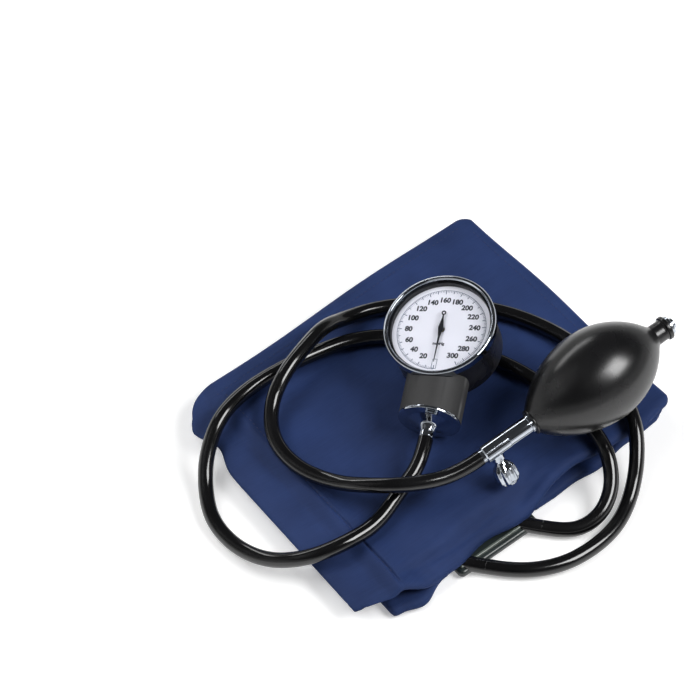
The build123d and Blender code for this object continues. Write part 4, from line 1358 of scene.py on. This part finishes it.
    def unwrap(self, mesh: bpy.types.Mesh) -> None:
        """UV map in tenths of a metre: the place in plan, with the height added to it.

        Args:
            mesh: the cloth's mesh.
        """
        layer = mesh.uv_layers.new(name="weave")
        place = np.empty(len(mesh.vertices) * 3)
        mesh.vertices.foreach_get("co", place)
        x, y, z = place.reshape(-1, 3).T
        corner = np.empty(len(mesh.loops), dtype=np.int32)
        mesh.loops.foreach_get("vertex_index", corner)
        flat = np.stack((x + z * 0.5, y + z), axis=1) * 10.0
        layer.data.foreach_set("uv", flat[corner].ravel())

    def stitches(self) -> None:
        """Lock stitches along the upper layer's seams: short ellipsoids laid end to end."""
        lines = (
            ((self.seam_x, -58.0), (self.seam_x, 66.0)), ((82.0, -56.0), (81.6, 70.0)),
            ((78.0, 74.6), (-76.0, 66.0)),
        )
        pitch, reach, thick, proud, rings, sides = 2.6, 0.85, 0.16, 0.02, 5, 6
        turn = circle(sides)
        lean = np.linspace(-math.pi / 2, math.pi / 2, rings)[:, None]
        wide = thick * np.cos(lean)
        shape = np.stack(
            (reach * np.sin(lean) + 0 * turn, wide * np.cos(turn), wide * np.sin(turn)), axis=-1
        ).reshape(1, -1, 3)
        places, ways = [], []
        for begin, end in np.array(lines):
            length = np.linalg.norm(end - begin)
            way = (end - begin) / length
            step = (np.arange(int(length / pitch)) * pitch + pitch / 2)[:, None]
            places.append(begin + way * step)
            ways.append(np.broadcast_to(way, places[-1].shape))
        at, along = np.concatenate(places), np.concatenate(ways)
        across = np.stack((-along[:, 1], along[:, 0]), axis=1)
        local = shape[..., 0:1] * along[:, None] + shape[..., 1:2] * across[:, None] + at[:, None]
        level = 2 * self.pitch + self.thickness + self.lift(at[:, 0], at[:, 1]) + proud
        level = self.press(at[:, 0], level, np.full(len(at), 2.0))
        height = level[:, None, None] + shape[..., 2:3]
        first = np.arange(len(at))[:, None, None] * shape.shape[1]
        faces = (grid_faces(rings, sides, False, True)[None] + first).reshape(-1, 4)
        points = np.concatenate((local, height), axis=2)
        make_piece("cuff_stitches", points, faces, Look(THREAD, Slot.CLOTH))

    def build(self) -> None:
        """Makes the cloth and its stitches."""
        self.cloth()
        self.stitches()


def slab(name: str, box: Sequence[Pair], corner: float, edge: float, look: Look) -> None:
    """Flat body with rounded corners in plan and a rounded edge.

    The plan is a rectangle drawn in by the corner radius and grown out again all round, and
    the edge's section is half an ellipse as wide as the edge and as high as the body.

    Args:
        name: name of the piece.
        box: its two ends along x, y and z.
        corner: radius of its corners in plan.
        edge: width of its rounded edge.
        look: its finish, slot and node.
    """
    sides, bends = 96, 11
    low, high = np.array(box).T
    half, centre = (high - low)[:2] / 2 - corner, (low + high) / 2
    rise = (high[2] - low[2]) / 2
    way = ray(np.radians((np.arange(sides) + 0.5) * 360 / sides))
    rings = []
    lean = np.radians(np.linspace(-90.0, 90.0, bends))
    steps = [(edge * (1 - math.cos(a)), rise * math.sin(a)) for a in lean]
    for inset, height in ((None, -rise), *steps, (None, rise)):
        grown = np.sign(way) * half + way * (corner - (inset or 0.0))
        plan = centre[:2] + (0.0 if inset is None else 1.0) * grown
        rings.append(np.hstack((plan, np.full((sides, 1), centre[2] + height))))
    faces = grid_faces(len(rings), sides, False, True)
    make_piece(name, np.stack(rings), faces, look)


@dataclass(frozen=True)
class Pouch:
    """Rubber bladder: a flat pouch in the cuff, a block at its mouth with a rib painted pale as a
    highlight, and two necks.
    """

    pouch: Sequence[Pair] = ((-73.0, 57.0), (-54.0, 58.0), (1.0, 4.0))
    block: Sequence[Pair] = ((-44.0, 2.0), (-73.0, -51.9), (0.1, 4.3))
    rib: Sequence[Pair] = ((-42.0, 0.0), (-70.4, -68.8), (3.9, 5.4))
    neck_middle: Triple = (-21.0, -69.5, 3.6)
    neck_spacing: float = 33.0
    neck_length: float = 8.03
    neck_heading: float = -50.0

    def build(self) -> None:
        """Makes the pouch, its block, the rib with its painted highlight and the two necks that
        the hoses meet.
        """
        dark = Look(BLACK_BLADDER, Slot.BLADDER, "bladder")
        slab("bladder_pouch", self.pouch, 9.0, 1.4, dark)
        slab("bladder_block", self.block, 2.6, 1.5, dark)
        # The rib is painted pale as a painted highlight along the block's mouth.
        slab("bladder_rib_painted_highlight", self.rib, 0.79, 0.7, Look(RIB_PAINTED_HIGHLIGHT, Slot.BLADDER, "bladder"))
        tip = self.neck_length - 0.1
        corners = (
            (0.0, -3.0, 0.0), (3.1, -3.0, 0.6), (3.5, 0.0, 0.6), (3.5, tip, 0.15),
            (2.25, tip, 0.1), (2.2, 1.0, 0.0), (0.0, 1.0, 0.0),
        )
        look = Look(BLACK_HOSE, Slot.BLADDER, "bladder")
        for side, name in ((1, "gauge_neck"), (-1, "bulb_neck")):
            origin = np.array(self.neck_middle) + (side * self.neck_spacing / 2, 0.0, 0.0)
            place = place_of(origin, np.array((0.0, 0.0, 1.0)), unit(self.neck_heading, 0.0))
            turned(name, place, rounded(corners), look, closed=False, segments=64)


def tape(name: str, node: str, material: Material) -> None:
    """Grip patch in its node's box: a thin slab whose rim is rounded off."""
    box = np.stack([np.array(corner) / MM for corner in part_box(node)], axis=1)
    slab(name, box, 4.0, 0.6, Look(material, Slot.TAPE, node))


class Share(Enum):
    """What a lamp does: lights surfaces, or shows in their gloss."""

    LIGHT = "light"
    GLOSS = "gloss"


@dataclass(frozen=True)
class Studio:
    """Pale floor and backdrop, plain studio light and the photograph's camera, in metres."""

    flat: float = 3.2
    bend: float = 0.8
    wall: float = 1.3
    sides: int = 96
    sink: float = 0.0002
    glow: float = 0.35
    sky: float = 0.05
    lens: float = 115.8
    camera_at: Triple = (-0.40272, -0.44294, 0.82730)
    camera_right: Triple = (0.7853, -0.6191, 0.0)
    camera_back: Triple = (-0.381, -0.483, 0.788)

    def floor(self) -> None:
        """White floor that sweeps up into a low white backdrop all round.

        The profile is flat to its reach, then a quarter circle, then upright, and it is turned
        about the vertical.
        """
        turn = np.linspace(0.0, math.pi / 2, 9)
        sweep = zip(self.flat + self.bend * np.sin(turn), self.bend - self.bend * np.cos(turn))
        top = (self.flat + self.bend, self.wall)
        line = np.array(((0.001, 0.0), (0.6, 0.0), (1.6, 0.0), *sweep, top))
        points = spin(line, self.sides).reshape(-1, 3) - (0.0, 0.0, self.sink)
        mesh = bpy.data.meshes.new("floor")
        faces = grid_faces(len(line), self.sides, False, True)
        mesh.from_pydata(points.tolist(), [], faces.tolist())
        mesh.shade_smooth()
        add("floor", mesh)
        mesh.materials.append(self.paper())

    def paper(self) -> Material:
        """White that glows a little for what looks at it, and lights nothing by itself.

        Returns:
            The material.
        """
        made = Shader("floor white", (0.86, 0.86, 0.86), 0.9)
        rays = made.node("LightPath").outputs
        seen = made.math("MAXIMUM", rays["Is Camera Ray"], rays["Is Glossy Ray"])
        seen = made.math("MAXIMUM", seen, rays["Is Transmission Ray"])
        dark, glow = (
            made.node("Emission", (level, level, level, 1.0), strength).outputs[0]
            for level, strength in ((0.0, 0.0), (1.0, self.glow))
        )
        mixed = made.node("MixShader", seen, dark, glow).outputs["Shader"]
        total = made.node("AddShader", made.main.outputs["BSDF"], mixed)
        made.surface(total.outputs["Shader"])
        return made.material

    def world(self) -> None:
        """Dim even sky for the soft part of the light."""
        world = bpy.data.worlds.new("studio")
        world.use_nodes = True
        back = world.node_tree.nodes["Background"]
        back.inputs["Color"].default_value = (0.97, 0.98, 1.0, 1.0)
        back.inputs["Strength"].default_value = self.sky
        bpy.context.scene.world = world

    def lamp(self, name: str, at: Triple, size: Pair, power: float, share: Share) -> None:
        """Soft box that faces the middle of the set.

        Args:
            name: name of the lamp.
            at: its place in metres.
            size: its two sides in metres.
            power: its power in watts.
            share: whether it lights surfaces or is mirrored in their gloss.
        """
        data = bpy.data.lights.new(name, "AREA")
        assign(data, shape="RECTANGLE", size=size[0], size_y=size[1], energy=power)
        assign(
            add(name, data), location=at,
            rotation_euler=(-Vector(at)).to_track_quat("-Z", "Y").to_euler(),
            visible_glossy=share is Share.GLOSS, visible_diffuse=share is Share.LIGHT,
        )

    def camera(self) -> None:
        """Camera where the photograph was taken from, over the set's front left."""
        data = bpy.data.cameras.new("camera")
        assign(data, lens=self.lens, sensor_width=36.0, clip_start=0.05, clip_end=20.0)
        camera = add("camera", data)
        right, back = Vector(self.camera_right).normalized(), Vector(self.camera_back).normalized()
        turn = Matrix((right, back.cross(right), back)).transposed()
        camera.matrix_world = Matrix.Translation(self.camera_at) @ turn.to_4x4()
        bpy.context.scene.camera = camera

    def build(self) -> None:
        """Sets the floor, the world, the lamps and the camera."""
        self.floor()
        self.world()
        self.lamp("key", (0.6, -0.65, 1.0), (0.7, 0.7), 14.8, Share.LIGHT)
        self.lamp("rear", (-0.42, 0.52, 1.22), (1.0, 1.0), 8.4, Share.LIGHT)
        self.lamp("fill", (-0.86, 0.44, 0.92), (0.5, 0.8), 3.4, Share.LIGHT)
        self.lamp("left", (-0.86, 0.44, 0.92), (0.5, 0.8), 7.5, Share.GLOSS)
        self.lamp("right", (0.4, -0.7, 1.02), (0.6, 0.6), 13.0, Share.GLOSS)
        self.lamp("back", (0.12, 1.3, 0.8), (1.1, 0.16), 3.4, Share.GLOSS)
        self.camera()
        bpy.context.scene.view_settings.view_transform = "Standard"


CARRIED = {
    "crystal": WINDOW, "dial": DIAL_WHITE, "movement_plate": BRASS,
    "pillars": BRASS, "bridge": BRASS, "movement_screws": STEEL, "pinion": BRASS,
    "sector_gear": BRASS, "pointer": NEEDLE, "rod_guide": BRASS, "capsule": BRONZE,
    "push_rod": STEEL, "clip_rivets": CHROME, "outlet_flap": SOFT_FLAP, "inlet_flap": SOFT_FLAP,
}


def dress_carried() -> None:
    """Gives each carried-over node its finish."""
    for node, material in CARRIED.items():
        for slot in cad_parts[node].material_slots:
            slot.material = material


def main() -> None:
    """Builds the set in order."""
    logging.basicConfig(level=logging.INFO, format="%(name)s %(message)s")
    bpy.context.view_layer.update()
    Studio().build()
    GAUGE_HOSE.build()
    BULB_HOSE.build()
    Cuff().build()
    Pouch().build()
    tape("hook_tape", "hook_patch", HOOKS)
    tape("loop_tape", "loop_patch", LOOPS)
    Gauge().build()
    Bulb().build()
    Valve().build()
    dress_carried()


if __name__ == "__main__":
    main()
